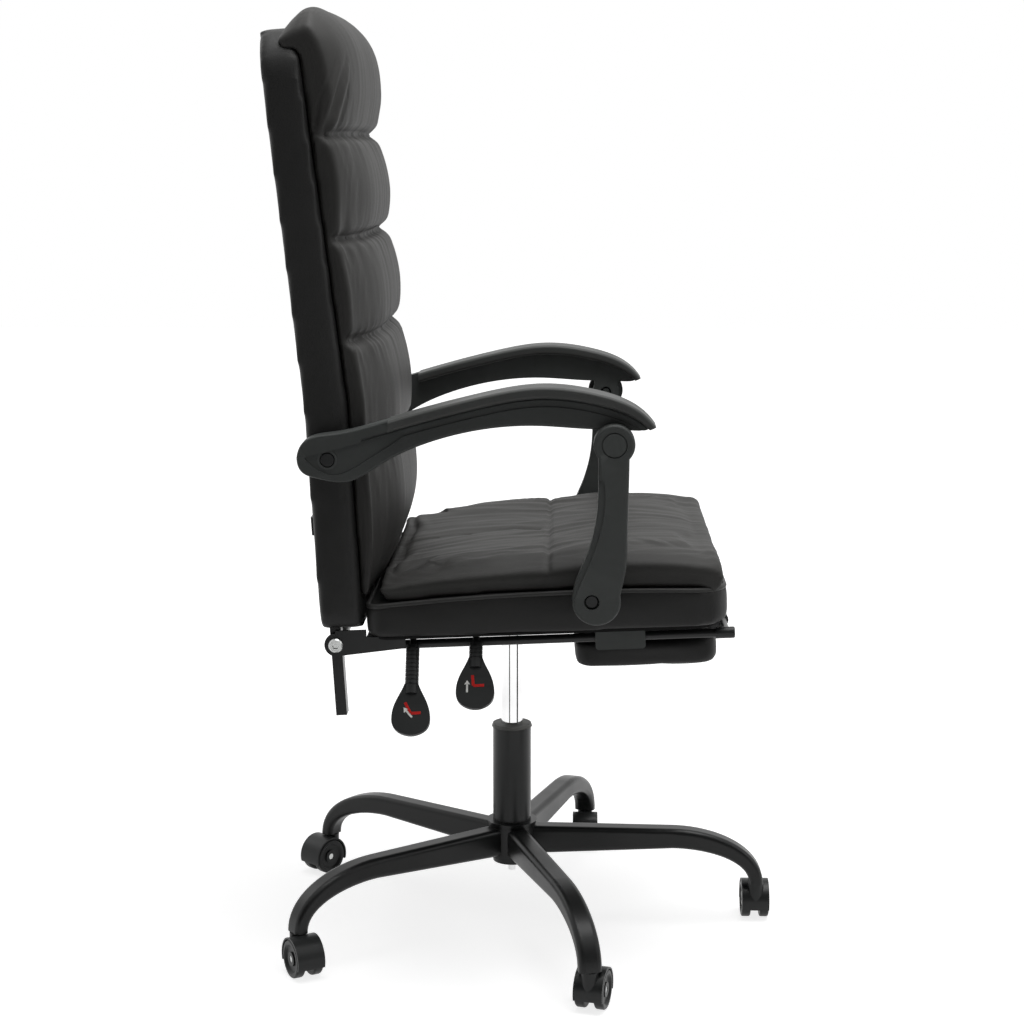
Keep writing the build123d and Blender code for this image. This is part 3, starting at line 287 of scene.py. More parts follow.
@dataclass(frozen=True)
class MouldedPlastic:
    """A moulded nylon with a spark-eroded texture and rubbed edges."""

    name: str
    colour: Triple = (0.054, 0.058, 0.056)
    gloss: Pair = (0.42, 0.55)
    specular: float = 0.25
    tone_rate: float = 14.0
    edge_gain: float = 1.5
    texture: float = 1500.0
    texture_depth: float = 0.00008
    texture_strength: float = 0.5

    def build(self) -> bpy.types.Material:
        """Builds the material with its fine texture and edge wear.

        Returns:
            The material.
        """
        sheet = NodeSheet(self.name)
        fine = sheet.noise(sheet.place, self.texture, detail=2.0)
        broad = sheet.noise(sheet.place, self.tone_rate, detail=4.0)
        colour = sheet.blend(sheet.worn(), self.colour, toned(self.colour, self.edge_gain))
        normal = sheet.bump(fine, self.texture_strength, self.texture_depth)
        sheet.shader.inputs["Specular IOR Level"].default_value = self.specular
        return sheet.finish(colour, sheet.span(broad, NOISE_SPAN, self.gloss), normal)


@dataclass(frozen=True)
class CoatedSteel:
    """Powder-coated steel with a slight orange peel."""

    name: str
    colour: Triple = (0.014, 0.0145, 0.0145)
    gloss: Pair = (0.28, 0.40)
    specular: float = 0.25
    tone_rate: float = 11.0
    edge_gain: float = 1.7
    peel: float = 420.0
    peel_depth: float = 0.0001
    peel_strength: float = 0.35

    def build(self) -> bpy.types.Material:
        """Builds the material with its peel and edge wear.

        Returns:
            The material.
        """
        sheet = NodeSheet(self.name)
        peel = sheet.noise(sheet.place, self.peel, detail=2.0)
        broad = sheet.noise(sheet.place, self.tone_rate, detail=4.0)
        colour = sheet.blend(sheet.worn(), self.colour, toned(self.colour, self.edge_gain))
        normal = sheet.bump(peel, self.peel_strength, self.peel_depth)
        sheet.shader.inputs["Specular IOR Level"].default_value = self.specular
        return sheet.finish(colour, sheet.span(broad, NOISE_SPAN, self.gloss), normal)


@dataclass(frozen=True)
class BareMetal:
    """Plated or ground metal."""

    name: str
    colour: Triple = (0.80, 0.80, 0.80)
    gloss: Pair = (0.05, 0.09)
    tone_rate: float = 25.0
    tone_gain: float = 0.88
    lines: Triple = (40.0, 40.0, 900.0)
    line_depth: float = 0.00002
    line_strength: float = 0.3

    def build(self) -> bpy.types.Material:
        """Builds the material with its fine turning lines.

        Returns:
            The material.
        """
        sheet = NodeSheet(self.name)
        lines = sheet.noise(sheet.stretched(self.lines), 1.0, detail=3.0)
        broad = sheet.noise(sheet.place, self.tone_rate, detail=3.0)
        dark = toned(self.colour, self.tone_gain)
        colour = sheet.blend(sheet.span(broad, NOISE_SPAN), self.colour, dark)
        normal = sheet.bump(lines, self.line_strength, self.line_depth)
        sheet.shader.inputs["Metallic"].default_value = 1.0
        return sheet.finish(colour, sheet.span(lines, NOISE_SPAN, self.gloss), normal)


class Finishes:
    """All finishes of the chair, each built once."""

    def __init__(self) -> None:
        """Builds the materials."""
        self.back_leather = Leather(
            "back_leather", colour=(0.0265, 0.026, 0.0248), streaks=(14.0, 80.0, 10.0)
        ).build()
        self.seat_leather = Leather("seat_leather", streaks=(9.0, 110.0, 30.0)).build()
        # Painted shade: a darker copy of the same leather, for the seat box's sides and the
        # footrest cover, which face away from the lamps.
        self.painted_shade_side_leather = Leather(
            "painted_shade_side_leather", colour=(0.0140, 0.0140, 0.0137), gloss=(0.46, 0.60),
            streak_depth=0.0003,
        ).build()
        # Painted shade: a darker copy of the same leather, for the back shell's side faces.
        self.painted_shade_shell_leather = Leather(
            "painted_shade_shell_leather", colour=(0.0165, 0.0165, 0.0162), gloss=(0.44, 0.58),
            streak_depth=0.0003,
        ).build()
        # Painted highlight: a lighter copy of the same leather, so the welt on the seat box's top
        # edge reads as a light line.
        self.painted_highlight_welt_leather = Leather(
            "painted_highlight_welt_leather", colour=(0.034, 0.034, 0.033), gloss=(0.42, 0.55),
            streak_depth=0.0002,
        ).build()
        self.arm_skin = MouldedPlastic("arm_skin", colour=(0.056, 0.058, 0.056)).build()
        self.arm_nylon = MouldedPlastic("arm_nylon").build()
        self.caster_nylon = MouldedPlastic(
            "caster_nylon", colour=(0.017, 0.018, 0.018), gloss=(0.30, 0.42)
        ).build()
        self.tread = MouldedPlastic(
            "tread", colour=(0.016, 0.017, 0.017), gloss=(0.32, 0.5), texture=900.0
        ).build()
        self.coat = CoatedSteel("black_coat").build()
        self.chrome = BareMetal("lift_chrome").build()
        self.zinc = BareMetal("zinc_plate", colour=(0.56, 0.57, 0.56), gloss=(0.2, 0.34)).build()
        self.screw = CoatedSteel("black_screw", colour=(0.020, 0.021, 0.021)).build()
        self.bush = MouldedPlastic("grey_bush", colour=(0.22, 0.22, 0.21)).build()
        self.dust_cloth = Leather(
            "dust_cloth", colour=(0.010, 0.010, 0.010), gloss=(0.8, 0.9), grain=900.0,
            streak_depth=0.0002,
        ).build()
        self.sign_white = MouldedPlastic(
            "sign_white", colour=(0.62, 0.62, 0.60), gloss=(0.3, 0.4)
        ).build()
        self.sign_red = MouldedPlastic(
            "sign_red", colour=(0.42, 0.012, 0.010), gloss=(0.3, 0.4)
        ).build()

    def for_node(self, node: str) -> bpy.types.Material:
        """Chooses the finish of a carried-over CAD node.

        Args:
            node: the node's name.

        Returns:
            The first finish that has a word of the name, or else the black coat.
        """
        table = (
            (("grip",), self.caster_nylon), (("wheel",), self.tread),
            (("hood", "rail_caps"), self.caster_nylon), (("axle", "stems"), self.zinc),
            (("arm_pad",), self.arm_skin), (("arm_bolts", "foot_bolts"), self.screw),
            (("arm_left", "arm_right", "upright", "footrest_guides"), self.arm_nylon),
            (("gas_cylinder", "piston_rod"), self.chrome), (("guide_bush",), self.bush),
            (("thrust", "clip", "bolts", "lock_plates", "valve"), self.zinc),
        )
        for words, material in table:
            if any(word in node for word in words):
                return material
        return self.coat


def new_piece(work: bmesh.types.BMesh, name: str) -> bpy.types.Object:
    """Turns a finished bmesh into a piece at the origin.

    Args:
        work: the bmesh, which is freed.
        name: the piece's name.

    Returns:
        The new object, in the scene.
    """
    mesh = bpy.data.meshes.new(name)
    work.to_mesh(mesh)
    work.free()
    piece = bpy.data.objects.new(name, mesh)
    bpy.context.scene.collection.objects.link(piece)
    return piece


def merged_copy(node: str, name: str) -> bpy.types.Object:
    """Copies a CAD node's mesh into a new piece, with its loose triangles merged.

    Args:
        node: the CAD node to copy.
        name: the new piece's name.

    Returns:
        The new object, at the origin.
    """
    work = bmesh.new()
    work.from_mesh(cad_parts[node].data)
    bmesh.ops.remove_doubles(work, verts=work.verts, dist=MERGE_GAP)
    return new_piece(work, name)


def settle(piece: bpy.types.Object) -> None:
    """Applies a piece's modifiers to its mesh.

    Args:
        piece: the piece, which is left without modifiers and vertex groups.
    """
    depsgraph = bpy.context.evaluated_depsgraph_get()
    mesh = bpy.data.meshes.new_from_object(piece.evaluated_get(depsgraph))
    piece.modifiers.clear()
    piece.vertex_groups.clear()
    piece.data = mesh
    mesh.name = piece.name


def dress(piece: bpy.types.Object, material: bpy.types.Material, smooth: bool = True) -> None:
    """Gives a piece its one material and its shading.

    Args:
        piece: the piece to dress.
        material: its material.
        smooth: whether its faces are shaded as one curved surface.
    """
    piece.data.materials.clear()
    piece.data.materials.append(material)
    for face in piece.data.polygons:
        face.use_smooth = smooth


def raise_face(work: bmesh.types.BMesh, corners: list[bmesh.types.BMVert], move: Vector) -> None:
    """Fills a loop of points with a face and raises it into a closed slab.

    Args:
        work: the bmesh that holds the points.
        corners: the points, in order.
        move: how far and which way the face is raised.
    """
    face = work.faces.new(corners)
    raised = bmesh.ops.extrude_face_region(work, geom=[face])["geom"]
    lifted = [item for item in raised if isinstance(item, bmesh.types.BMVert)]
    bmesh.ops.translate(work, verts=lifted, vec=move)


def smooth_step(value: float, low: float, high: float) -> float:
    """Returns a smooth rise from 0 at low to 1 at high."""
    share = min(1.0, max(0.0, (value - low) / (high - low)))
    return share * share * (3.0 - 2.0 * share)


def ridge(value: float) -> float:
    """Returns a sharp-topped fold from a noise value."""
    return 1.0 - min(1.0, abs(value) * RIDGE_GAIN)


def boxed(out: float, side: float, height: float) -> float:
    """Returns how far a sewn corner stands out between its two faces.

    Args:
        out: how much the surface faces one way, from 0 to 1.
        side: how much it faces the other way.
        height: the height of the corner where both are equal.

    Returns:
        The move along the normal.
    """
    return height * (2.0 * max(0.0, out) * abs(side)) ** 2


def round_over(first: float, second: float, radius: float) -> Pair:
    """Carries a point near a square corner onto a rounded one.

    Args:
        first: the point's depth under the corner's first face.
        second: its depth under the second face.
        radius: the radius of the rounded corner.

    Returns:
        Both depths of the moved point.
    """
    gap = math.hypot(radius - first, radius - second)
    if first >= radius or second >= radius or gap <= radius:
        return first, second
    share = radius / gap
    return radius - (radius - first) * share, radius - (radius - second) * share


@dataclass(frozen=True)
class Wrinkles:
    """A noise that is stretched along two directions of a form."""

    first_rate: float
    second_rate: float
    seed: float

    def at(self, first: float, second: float) -> float:
        """Returns the noise at a place of the form."""
        return noise.noise(Vector((first * self.first_rate, second * self.second_rate, self.seed)))


class Cover(abc.ABC):
    """The cover of a padded form: where it is held, how it is cut and how it folds."""

    @abc.abstractmethod
    def held(self, place: Vector, normal: Vector) -> bool:
        """Says whether a point stays where it is while the form swells."""

    @abc.abstractmethod
    def fold(self, place: Vector, normal: Vector) -> float:
        """Returns how far a point is folded out along its normal."""

    def cut(self, place: Vector) -> Vector:
        """Returns where the cover's cut draws a point of the swollen form."""
        return place.copy()


@dataclass(frozen=True)
class BoardCover(Cover):
    """A cover that is drawn tight over a board, with only a slight unevenness."""

    broad_height: float = 0.0004
    broad_rate: float = 16.0
    fine_height: float = 0.0002
    fine_rate: float = 60.0

    def fold(self, place: Vector, normal: Vector) -> float:
        """Returns the unevenness at a point."""
        broad = self.broad_height * noise.noise(place * self.broad_rate)
        return broad + self.fine_height * noise.noise(place * self.fine_rate)


@dataclass(frozen=True)
class SeatBoxCover(BoardCover):
    """The cover of the seat box, held on its top and bottom."""

    level: float = 0.4

    def held(self, place: Vector, normal: Vector) -> bool:
        """Says whether a point lies on the box's top or bottom."""
        return abs(normal.z) > self.level


@dataclass(frozen=True)
class FootrestCover(BoardCover):
    """The cover of the footrest's board, held where the board meets its straps."""

    level: float = 0.7

    def held(self, place: Vector, normal: Vector) -> bool:
        """Says whether a point lies on the side that faces up when the board is stowed."""
        return normal.z > self.level


@dataclass(frozen=True)
class ShellFace:
    """The leaning front face of the back shell, in the back's frame."""

    foot_forward: float = 0.0345
    bend_up: float = 0.290
    rise: float = 0.435
    fall: float = 0.0290

    def forward(self, up: float) -> float:
        """Returns how far forward of the hinge the face lies at one height."""
        return self.foot_forward - self.fall * max(0.0, (up - self.bend_up) / self.rise)


@dataclass(frozen=True)
class ShellCover(BoardCover):
    """The cover of the back shell, its front edges rounder towards the foot."""

    face: ShellFace = ShellFace()
    half_width: float = 0.2405
    skin: float = 0.0005
    foot_radius: float = 0.013
    radius_loss: float = 0.008
    loss_span: Pair = (0.25, 0.70)
    sideways: float = 0.4

    def held(self, place: Vector, normal: Vector) -> bool:
        """Says whether a point lies anywhere but on the shell's sides."""
        return abs(normal.y) < self.sideways

    def cut(self, place: Vector) -> Vector:
        """Rounds the front edge of the shell's side.

        Args:
            place: a point of the swollen form.

        Returns:
            The point on the rounded shell.
        """
        local = BACK.inside(place)
        radius = self.foot_radius - self.radius_loss * smooth_step(local.z, *self.loss_span)
        front = self.face.forward(local.z) + self.skin
        depth, inset = round_over(front - local.x, self.half_width - abs(local.y), radius)
        across = math.copysign(self.half_width - inset, local.y)
        return BACK.outside(Vector((front - depth, across, local.z)))


@dataclass(frozen=True)
class CrownTrim:
    """How much flatter than its solid the back cushion's crown is."""

    least: float = 0.0026
    pillow_more: float = 0.0030
    pillow_rise: Pair = (0.600, 0.630)
    pillow_fall: Pair = (0.655, 0.735)
    fall_gain: float = 2.2
    foot_more: float = 0.0032
    foot_span: Pair = (0.17, 0.26)

    def at(self, up: float) -> float:
        """Works the trim out at one height.

        Args:
            up: the height in the back's frame.

        Returns:
            How far the crown is brought towards the shell.
        """
        pillow = smooth_step(up, *self.pillow_rise)
        pillow -= self.fall_gain * smooth_step(up, *self.pillow_fall)
        foot = 1.0 - smooth_step(up, *self.foot_span)
        return self.least + self.pillow_more * pillow + self.foot_more * foot


@dataclass(frozen=True)
class PillowSideFolds:
    """The deep slanted folds where the pillow's side is drawn in at its foot."""

    foot_up: float = 0.600
    reach: float = 0.105
    least_side: float = 0.35
    forward: float = 0.024
    slant: float = 0.30
    pitch: float = 0.0115
    height: float = 0.0036
    rear_span: Pair = (-0.012, -0.004)
    front_span: Pair = (0.018, 0.028)
    low_span: Pair = (0.0, 0.012)
    high_span: Pair = (0.05, 0.105)

    def at(self, local: Vector, side: float) -> float:
        """Works the folds out at one point.

        Args:
            local: the point in the back's frame.
            side: how much the surface faces sideways, from 0 to 1.

        Returns:
            The height of the folds.
        """
        rise = local.z - self.foot_up
        if not 0.0 < rise < self.reach or side < self.least_side:
            return 0.0
        across = local.x - self.forward - self.slant * rise
        wave = math.cos(math.tau * across / self.pitch)
        span = smooth_step(across, *self.rear_span) * (1.0 - smooth_step(across, *self.front_span))
        fade = smooth_step(rise, *self.low_span) * (1.0 - smooth_step(rise, *self.high_span))
        return self.height * span * fade * wave * side


@dataclass(frozen=True)
class BackCushionCover(Cover):
    """The back cushion's cover: sewn channels, gathers, boxed corners and shallow sides."""

    face: ShellFace = ShellFace()
    trim: CrownTrim = CrownTrim()
    side_folds: PillowSideFolds = PillowSideFolds()
    channels: tuple[float, ...] = (0.230, 0.362, 0.480, 0.600)
    sewn_half_width: float = 0.005
    rearward: float = -0.5

    top_drop: float = 0.013
    top_span: Pair = (0.69, 0.745)
    top_depth_span: Pair = (-0.012, 0.026)
    side_span: Pair = (0.10, 0.232)
    side_draw: float = 0.10
    lower_draw: float = 0.26
    lower_span: Pair = (0.46, 0.66)
    crown_depth: float = 0.05

    valley_depth: float = 0.0065
    valley_width: float = 0.0085
    valley_side_share: float = 0.15
    thread_depth: float = 0.0035
    thread_width: float = 0.003
    edge_span: Pair = (0.12, 0.225)
    gather: Wrinkles = Wrinkles(44.0, 8.0, 1.7)
    gather_height: float = 0.0020
    gather_edge_more: float = 0.0034
    gather_fade: float = 0.020
    gather_above_share: float = 0.55
    pucker_rates: Triple = (30.0, 24.0, 20.0)
    pucker_height: float = 0.0034
    pucker_fade: float = 0.013
    stretch: Wrinkles = Wrinkles(52.0, 6.0, 5.1)
    stretch_height: float = 0.0006
    lumps: Wrinkles = Wrinkles(12.0, 11.0, 9.4)
    lump_height: float = 0.0012
    corner_height: float = 0.0085
    corner_fade: float = 0.02

    def held(self, place: Vector, normal: Vector) -> bool:
        """Says whether a point lies on the shell or in a sewn channel.

        Args:
            place: the point.
            normal: the surface normal there.

        Returns:
            True where the cover is held.
        """
        local = BACK.inside(place)
        turned = BACK.inside(BACK.origin + normal)
        sewn = any(abs(local.z - channel) < self.sewn_half_width for channel in self.channels)
        return turned.x < self.rearward or sewn

    def cut(self, place: Vector) -> Vector:
        """Draws the sides in, lowers the pillow's rear top and trims the crown.

        Args:
            place: a point of the swollen form.

        Returns:
            The point on the cut form.
        """
        local = BACK.inside(place)
        face = self.face.forward(local.z)
        top = smooth_step(local.z, *self.top_span)
        local.z -= self.top_drop * top * (1.0 - smooth_step(local.x, *self.top_depth_span))
        if local.x <= face:
            return BACK.outside(local)
        edge = smooth_step(abs(local.y), *self.side_span)
        lower = 1.0 - smooth_step(local.z, *self.lower_span)
        crown = smooth_step(local.x - face, 0.0, self.crown_depth)
        draw = (self.side_draw + self.lower_draw * lower) * edge
        local.x = face + (local.x - face) * (1.0 - draw)
        local.x -= crown * self.trim.at(local.z)
        return BACK.outside(local)

    def fold(self, place: Vector, normal: Vector) -> float:
        """Works out the channels, gathers, puckers and corners at one point.

        Args:
            place: the point.
            normal: the surface normal there.

        Returns:
            The height of the folds.
        """
        local = BACK.inside(place)
        turned = BACK.inside(BACK.origin + normal)
        if turned.x < self.rearward:
            return 0.0
        front, side = max(0.0, turned.x), abs(turned.y)
        channel = min(self.channels, key=lambda up: abs(local.z - up))
        near = abs(local.z - channel)
        edge = smooth_step(abs(local.y), *self.edge_span)

        valley = self.valley_depth * math.exp(-((near / self.valley_width) ** 2))
        thread = self.thread_depth * math.exp(-((near / self.thread_width) ** 2))
        sewn = -valley * (front + self.valley_side_share * side) - thread * front

        gather = math.exp(-near / self.gather_fade) * ridge(self.gather.at(local.y, local.z))
        gather *= self.gather_height + self.gather_edge_more * edge
        gather *= 1.0 if local.z < channel else self.gather_above_share

        across, up, forward = self.pucker_rates
        short = noise.noise(Vector((local.y * across, local.z * up, local.x * forward)))
        pucker = math.exp(-near / self.pucker_fade) * edge * ridge(short) * self.pucker_height

        stretch = self.stretch_height * self.stretch.at(local.y, local.z)
        lumps = self.lump_height * self.lumps.at(local.y, local.z)
        corner = boxed(front, side, self.corner_height) * (1.0 - math.exp(-near / self.corner_fade))
        return (
            sewn + gather + (pucker + stretch + lumps) * front + corner
            + self.side_folds.at(local, side)
        )


@dataclass(frozen=True)
class SeatCushionCover(Cover):
    """The seat cushion's cover: a seam across, gathers that fan out from it and boxed corners."""

    downward: float = -0.6
    seam_forward: float = 0.052
    seam_depth: float = 0.0028
    seam_width: float = 0.0035
    fan: float = 0.22
    edge_span: Pair = (0.09, 0.21)
    gather: Wrinkles = Wrinkles(11.0, 40.0, 8.8)
    gather_height: float = 0.0016
    gather_edge_more: float = 0.0022
    gather_fade: float = 0.07
    streak: Wrinkles = Wrinkles(7.0, 58.0, 3.3)
    streak_height: float = 0.0012
    crease: Wrinkles = Wrinkles(5.0, 21.0, 2.1)
    crease_height: float = 0.0018
    corner_height: float = 0.0055
    lump_height: float = 0.0005
    lump_rate: float = 30.0

    def held(self, place: Vector, normal: Vector) -> bool:
        """Says whether a point rests on the seat box."""
        return normal.z < self.downward

    def fold(self, place: Vector, normal: Vector) -> float:
        """Works out the seam, gathers, creases and corners at one point.

        Args:
            place: the point.
            normal: the surface normal there.

        Returns:
            The height of the folds.
        """
        local = SEAT.inside(place)
        past_seam = local.x - self.seam_forward
        near = abs(past_seam)
        lean = local.y + self.fan * past_seam * (1.0 if local.y > 0.0 else -1.0)
        edge = smooth_step(abs(local.y), *self.edge_span)
        gather = math.exp(-near / self.gather_fade) * ridge(self.gather.at(local.x, lean))
        gather *= self.gather_height + self.gather_edge_more * edge
        seam = -self.seam_depth * math.exp(-((near / self.seam_width) ** 2))
        streak = self.streak_height * self.streak.at(local.x, lean)
        crease = self.crease_height * ridge(self.crease.at(local.x, lean)) * edge
        corner = boxed(normal.z, math.hypot(normal.x, normal.y), self.corner_height)
        lumps = self.lump_height * noise.noise(place * self.lump_rate)
        return max(0.0, normal.z) * (streak + crease + gather + seam) + corner + lumps


@dataclass
class SoftForm:
    """A padded form that swells from its CAD solid under cloth pressure."""

    node: str
    name: str
    body: str
    material: bpy.types.Material
    cover: Cover
    fill: float
    cap: float
    voxel: float = 0.006
    pressure: float = 4.0
    steps: int = 20
    quality: int = 5
    first_relax: float = 0.5
    last_relax: float = 0.4
    piece: Optional[bpy.types.Object] = field(default=None, init=False)

    def build(self) -> bpy.types.Object:
        """Builds the swollen, cut, folded and dressed piece.

        Returns:
            The piece, which stands in for its CAD node.
        """
        self.piece = merged_copy(self.node, self.name)
        grid = self.piece.modifiers.new("Grid", "REMESH")
        grid.mode = "VOXEL"
        grid.voxel_size = self.voxel
        settle(self.piece)
        self._relax(self.first_relax)
        self._swell()
        self._relax(self.last_relax)
        layer = self.piece.modifiers.new("Fine", "SUBSURF")
        layer.levels = layer.render_levels = 1
        settle(self.piece)
        for vertex in self.piece.data.vertices:
            vertex.co = self.cover.cut(vertex.co)
        self.piece.data.update()
        self._fold()
        dress(self.piece, self.material)
        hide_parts(self.node)
        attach(self.piece, self.body)
        LOG.info("%s: %d faces", self.name, len(self.piece.data.polygons))
        return self.piece

    def _relax(self, factor: float) -> None:
        """Moves every point a little towards its neighbours.

        Args:
            factor: how far, as a share of the way.
        """
        work = bmesh.new()
        work.from_mesh(self.piece.data)
        bmesh.ops.smooth_vert(
            work, verts=work.verts, factor=factor,
            use_axis_x=True, use_axis_y=True, use_axis_z=True,
        )
        work.to_mesh(self.piece.data)
        work.free()

    def _swollen(self) -> list[Vector]:
        """Runs the cloth under pressure.

        Returns:
            Where it carries each point of the piece.
        """
        piece = self.piece
        points = piece.data.vertices
        pins = [point.index for point in points if self.cover.held(point.co, point.normal)]
        piece.vertex_groups.new(name="held").add(pins, 1.0, "REPLACE")
        cloth = piece.modifiers.new("Swell", "CLOTH")
        setting = cloth.settings
        setting.quality = self.quality
        setting.use_pressure = True
        setting.uniform_pressure_force = self.pressure
        setting.effector_weights.gravity = 0.0
        setting.vertex_group_mass = "held"
        cloth.collision_settings.use_collision = False
        cloth.point_cache.frame_start = 1
        cloth.point_cache.frame_end = self.steps
        for step in range(1, self.steps + 1):
            bpy.context.scene.frame_set(step)
        evaluated = piece.evaluated_get(bpy.context.evaluated_depsgraph_get())
        places = [vertex.co.copy() for vertex in evaluated.to_mesh().vertices]
        evaluated.to_mesh_clear()
        piece.modifiers.clear()
        bpy.context.scene.frame_set(1)
        return places

    def _swell(self) -> None:
        """Blows the form outward only, and no further than its cap."""
        places = self._swollen()
        points = self.piece.data.vertices
        normals = [vertex.normal.copy() for vertex in points]
        for vertex, place, normal in zip(points, places, normals):
            move = place - vertex.co
            move -= normal * min(0.0, move.dot(normal))
            if move.length > self.cap:
                move *= self.cap / move.length
            vertex.co += move
        self.piece.data.update()

    def _fold(self) -> None:
        """Moves each point along its normal by its cover's folds."""
        points = self.piece.data.vertices
        heights = [self.cover.fold(vertex.co, vertex.normal) for vertex in points]
        normals = [vertex.normal.copy() for vertex in points]
        for vertex, height, normal in zip(points, heights, normals):
            vertex.co += normal * height
        self.piece.data.update()


def rounded_loop(low: Pair, high: Pair, radii: tuple[float, ...], step: float) -> Outline:
    """Lays points evenly round a rounded rectangle.

    Args:
        low: its lowest corner.
        high: its highest corner.
        radii: the corner radii at (high, high), (low, high), (low, low) and (high, low).
        step: the longest distance between two points.

    Returns:
        The points, in order, without a repeat of the first.
    """
    corners = ((high[0], high[1]), (low[0], high[1]), (low[0], low[1]), (high[0], low[1]))
    signs = ((1, 1), (-1, 1), (-1, -1), (1, -1))
    marks: Outline = []
    for number, (corner, sign, radius) in enumerate(zip(corners, signs, radii)):
        centre = (corner[0] - sign[0] * radius, corner[1] - sign[1] * radius)
        for part in range(CORNER_PARTS + 1):
            angle = math.radians(90.0 * number + 90.0 * part / CORNER_PARTS)
            marks.append(
                (centre[0] + radius * math.cos(angle), centre[1] + radius * math.sin(angle))
            )
    points: Outline = []
    for first, second in zip(marks, marks[1:] + marks[:1]):
        parts = max(1, math.ceil(math.dist(first, second) / step))
        points += [
            (first[0] + (second[0] - first[0]) * part / parts,
             first[1] + (second[1] - first[1]) * part / parts)
            for part in range(parts)
        ]
    return points


@dataclass
class SeatWelt:
    """The leather-covered cord sewn round the top of the seat box."""

    material: bpy.types.Material
    radius: float = 0.0032
    bevel_parts: int = 4
    half_width: float = 0.2395
    span: Pair = (-0.1645, 0.2615)
    front_corner: float = 0.041
    rear_corner: float = 0.019
    step: float = 0.006
    crest_forward: float = 0.080
    crest_up: float = 0.0475
    crest_reach: float = 0.250
    crest_fall: float = 0.0100

    def _edge_up(self, forward: float) -> float:
        """Returns how high the seat box's top edge lies at one place."""
        share = (forward - self.crest_forward) / self.crest_reach
        return self.crest_up - self.crest_fall * share * share

    def _path(self) -> list[Vector]:
        """Follows the seat box's top edge.

        Returns:
            The points of the welt's middle line, in order.
        """
        loop = rounded_loop(
            (self.span[0], -self.half_width), (self.span[1], self.half_width),
            (self.front_corner, self.rear_corner, self.rear_corner, self.front_corner),
            self.step,
        )
        return [
            SEAT.outside(Vector((along, across, self._edge_up(along)))) for along, across in loop
        ]

    def build(self) -> bpy.types.Object:
        """Builds the welt as one closed tube along its path.

        Returns:
            The piece.
        """
        path = self._path()
        curve = bpy.data.curves.new("seat_welt", "CURVE")
        curve.dimensions = "3D"
        curve.bevel_depth = self.radius
        curve.bevel_resolution = self.bevel_parts
        spline = curve.splines.new("POLY")
        spline.points.add(len(path) - 1)
        for point, place in zip(spline.points, path):
            point.co = (*place, 1.0)
        spline.use_cyclic_u = True
        thread = bpy.data.objects.new("seat_welt_path", curve)
        bpy.context.scene.collection.objects.link(thread)
        tube = bpy.data.meshes.new_from_object(
            thread.evaluated_get(bpy.context.evaluated_depsgraph_get())
        )
        bpy.data.objects.remove(thread)
        bpy.data.curves.remove(curve)
        work = bmesh.new()
        work.from_mesh(tube)
        bpy.data.meshes.remove(tube)
        bmesh.ops.remove_doubles(work, verts=work.verts, dist=MERGE_GAP)
        bmesh.ops.recalc_face_normals(work, faces=work.faces)
        piece = new_piece(work, "seat_welt")
        dress(piece, self.material)
        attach(piece, "seat")
        LOG.info("%s: %d faces", piece.name, len(piece.data.polygons))
        return piece


class Upholstery:
    """Every padded form of the chair, and the welt."""

    def __init__(self, finishes: Finishes) -> None:
        """Keeps the finishes that the forms use."""
        self.finishes = finishes

    def _forms(self) -> list[SoftForm]:
        """Lists the padded forms.

        Returns:
            The forms, ready to be built.
        """
        leather = self.finishes
        return [
            SoftForm(
                "back_cushion", "back_bolsters", "back", leather.back_leather,
                BackCushionCover(), fill=0.7, cap=0.0035,
            ),
            SoftForm(
                "seat_cushion", "seat_pad", "seat", leather.seat_leather,
                SeatCushionCover(), fill=0.7, cap=0.0045,
            ),
            SoftForm(
                "back_shell", "back_cover", "back", leather.painted_shade_shell_leather,
                ShellCover(), fill=0.9, cap=0.0015, pressure=1.0, steps=8,
            ),
            SoftForm(
                "seat_base", "seat_box", "seat", leather.painted_shade_side_leather,
                SeatBoxCover(), fill=0.9, cap=0.0015, pressure=1.0, steps=8,
            ),
            SoftForm(
                "footrest_pad", "footrest_cover", "footrest_board", leather.painted_shade_side_leather,
                FootrestCover(), fill=0.8, cap=0.003, pressure=3.0, steps=12, voxel=0.005,
            ),
        ]

    def build(self) -> None:
        """Builds every padded form, then the welt."""
        for form in self._forms():
            form.build()
        SeatWelt(self.finishes.painted_highlight_welt_leather).build()


@dataclass
class DustCover:
    """The black cloth stapled under the seat box, just above the lever rods."""

    material: bpy.types.Material
    low: Pair = (-0.158, -0.236)
    high: Pair = (0.256, 0.236)
    front_corner: float = 0.040
    rear_corner: float = 0.018
    step: float = 0.02
    top: float = 0.0004
    bottom: float = -0.0026

    def build(self) -> bpy.types.Object:
        """Builds the cover as a thin sheet with rounded corners.

        Returns:
            The piece.
        """
        radii = (self.front_corner, self.rear_corner, self.rear_corner, self.front_corner)
        work = bmesh.new()
        corners = [
            work.verts.new(SEAT.outside(Vector((along, across, self.bottom))))
            for along, across in rounded_loop(self.low, self.high, radii, self.step)
        ]
        raise_face(
            work, corners, SEAT.outside(Vector((0.0, 0.0, self.top - self.bottom))) - SEAT.origin
        )
        bmesh.ops.recalc_face_normals(work, faces=work.faces)
        piece = new_piece(work, "seat_dust_cover")
        dress(piece, self.material, smooth=False)
        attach(piece, "seat")
        LOG.info("%s: %d faces", piece.name, len(piece.data.polygons))
        return piece


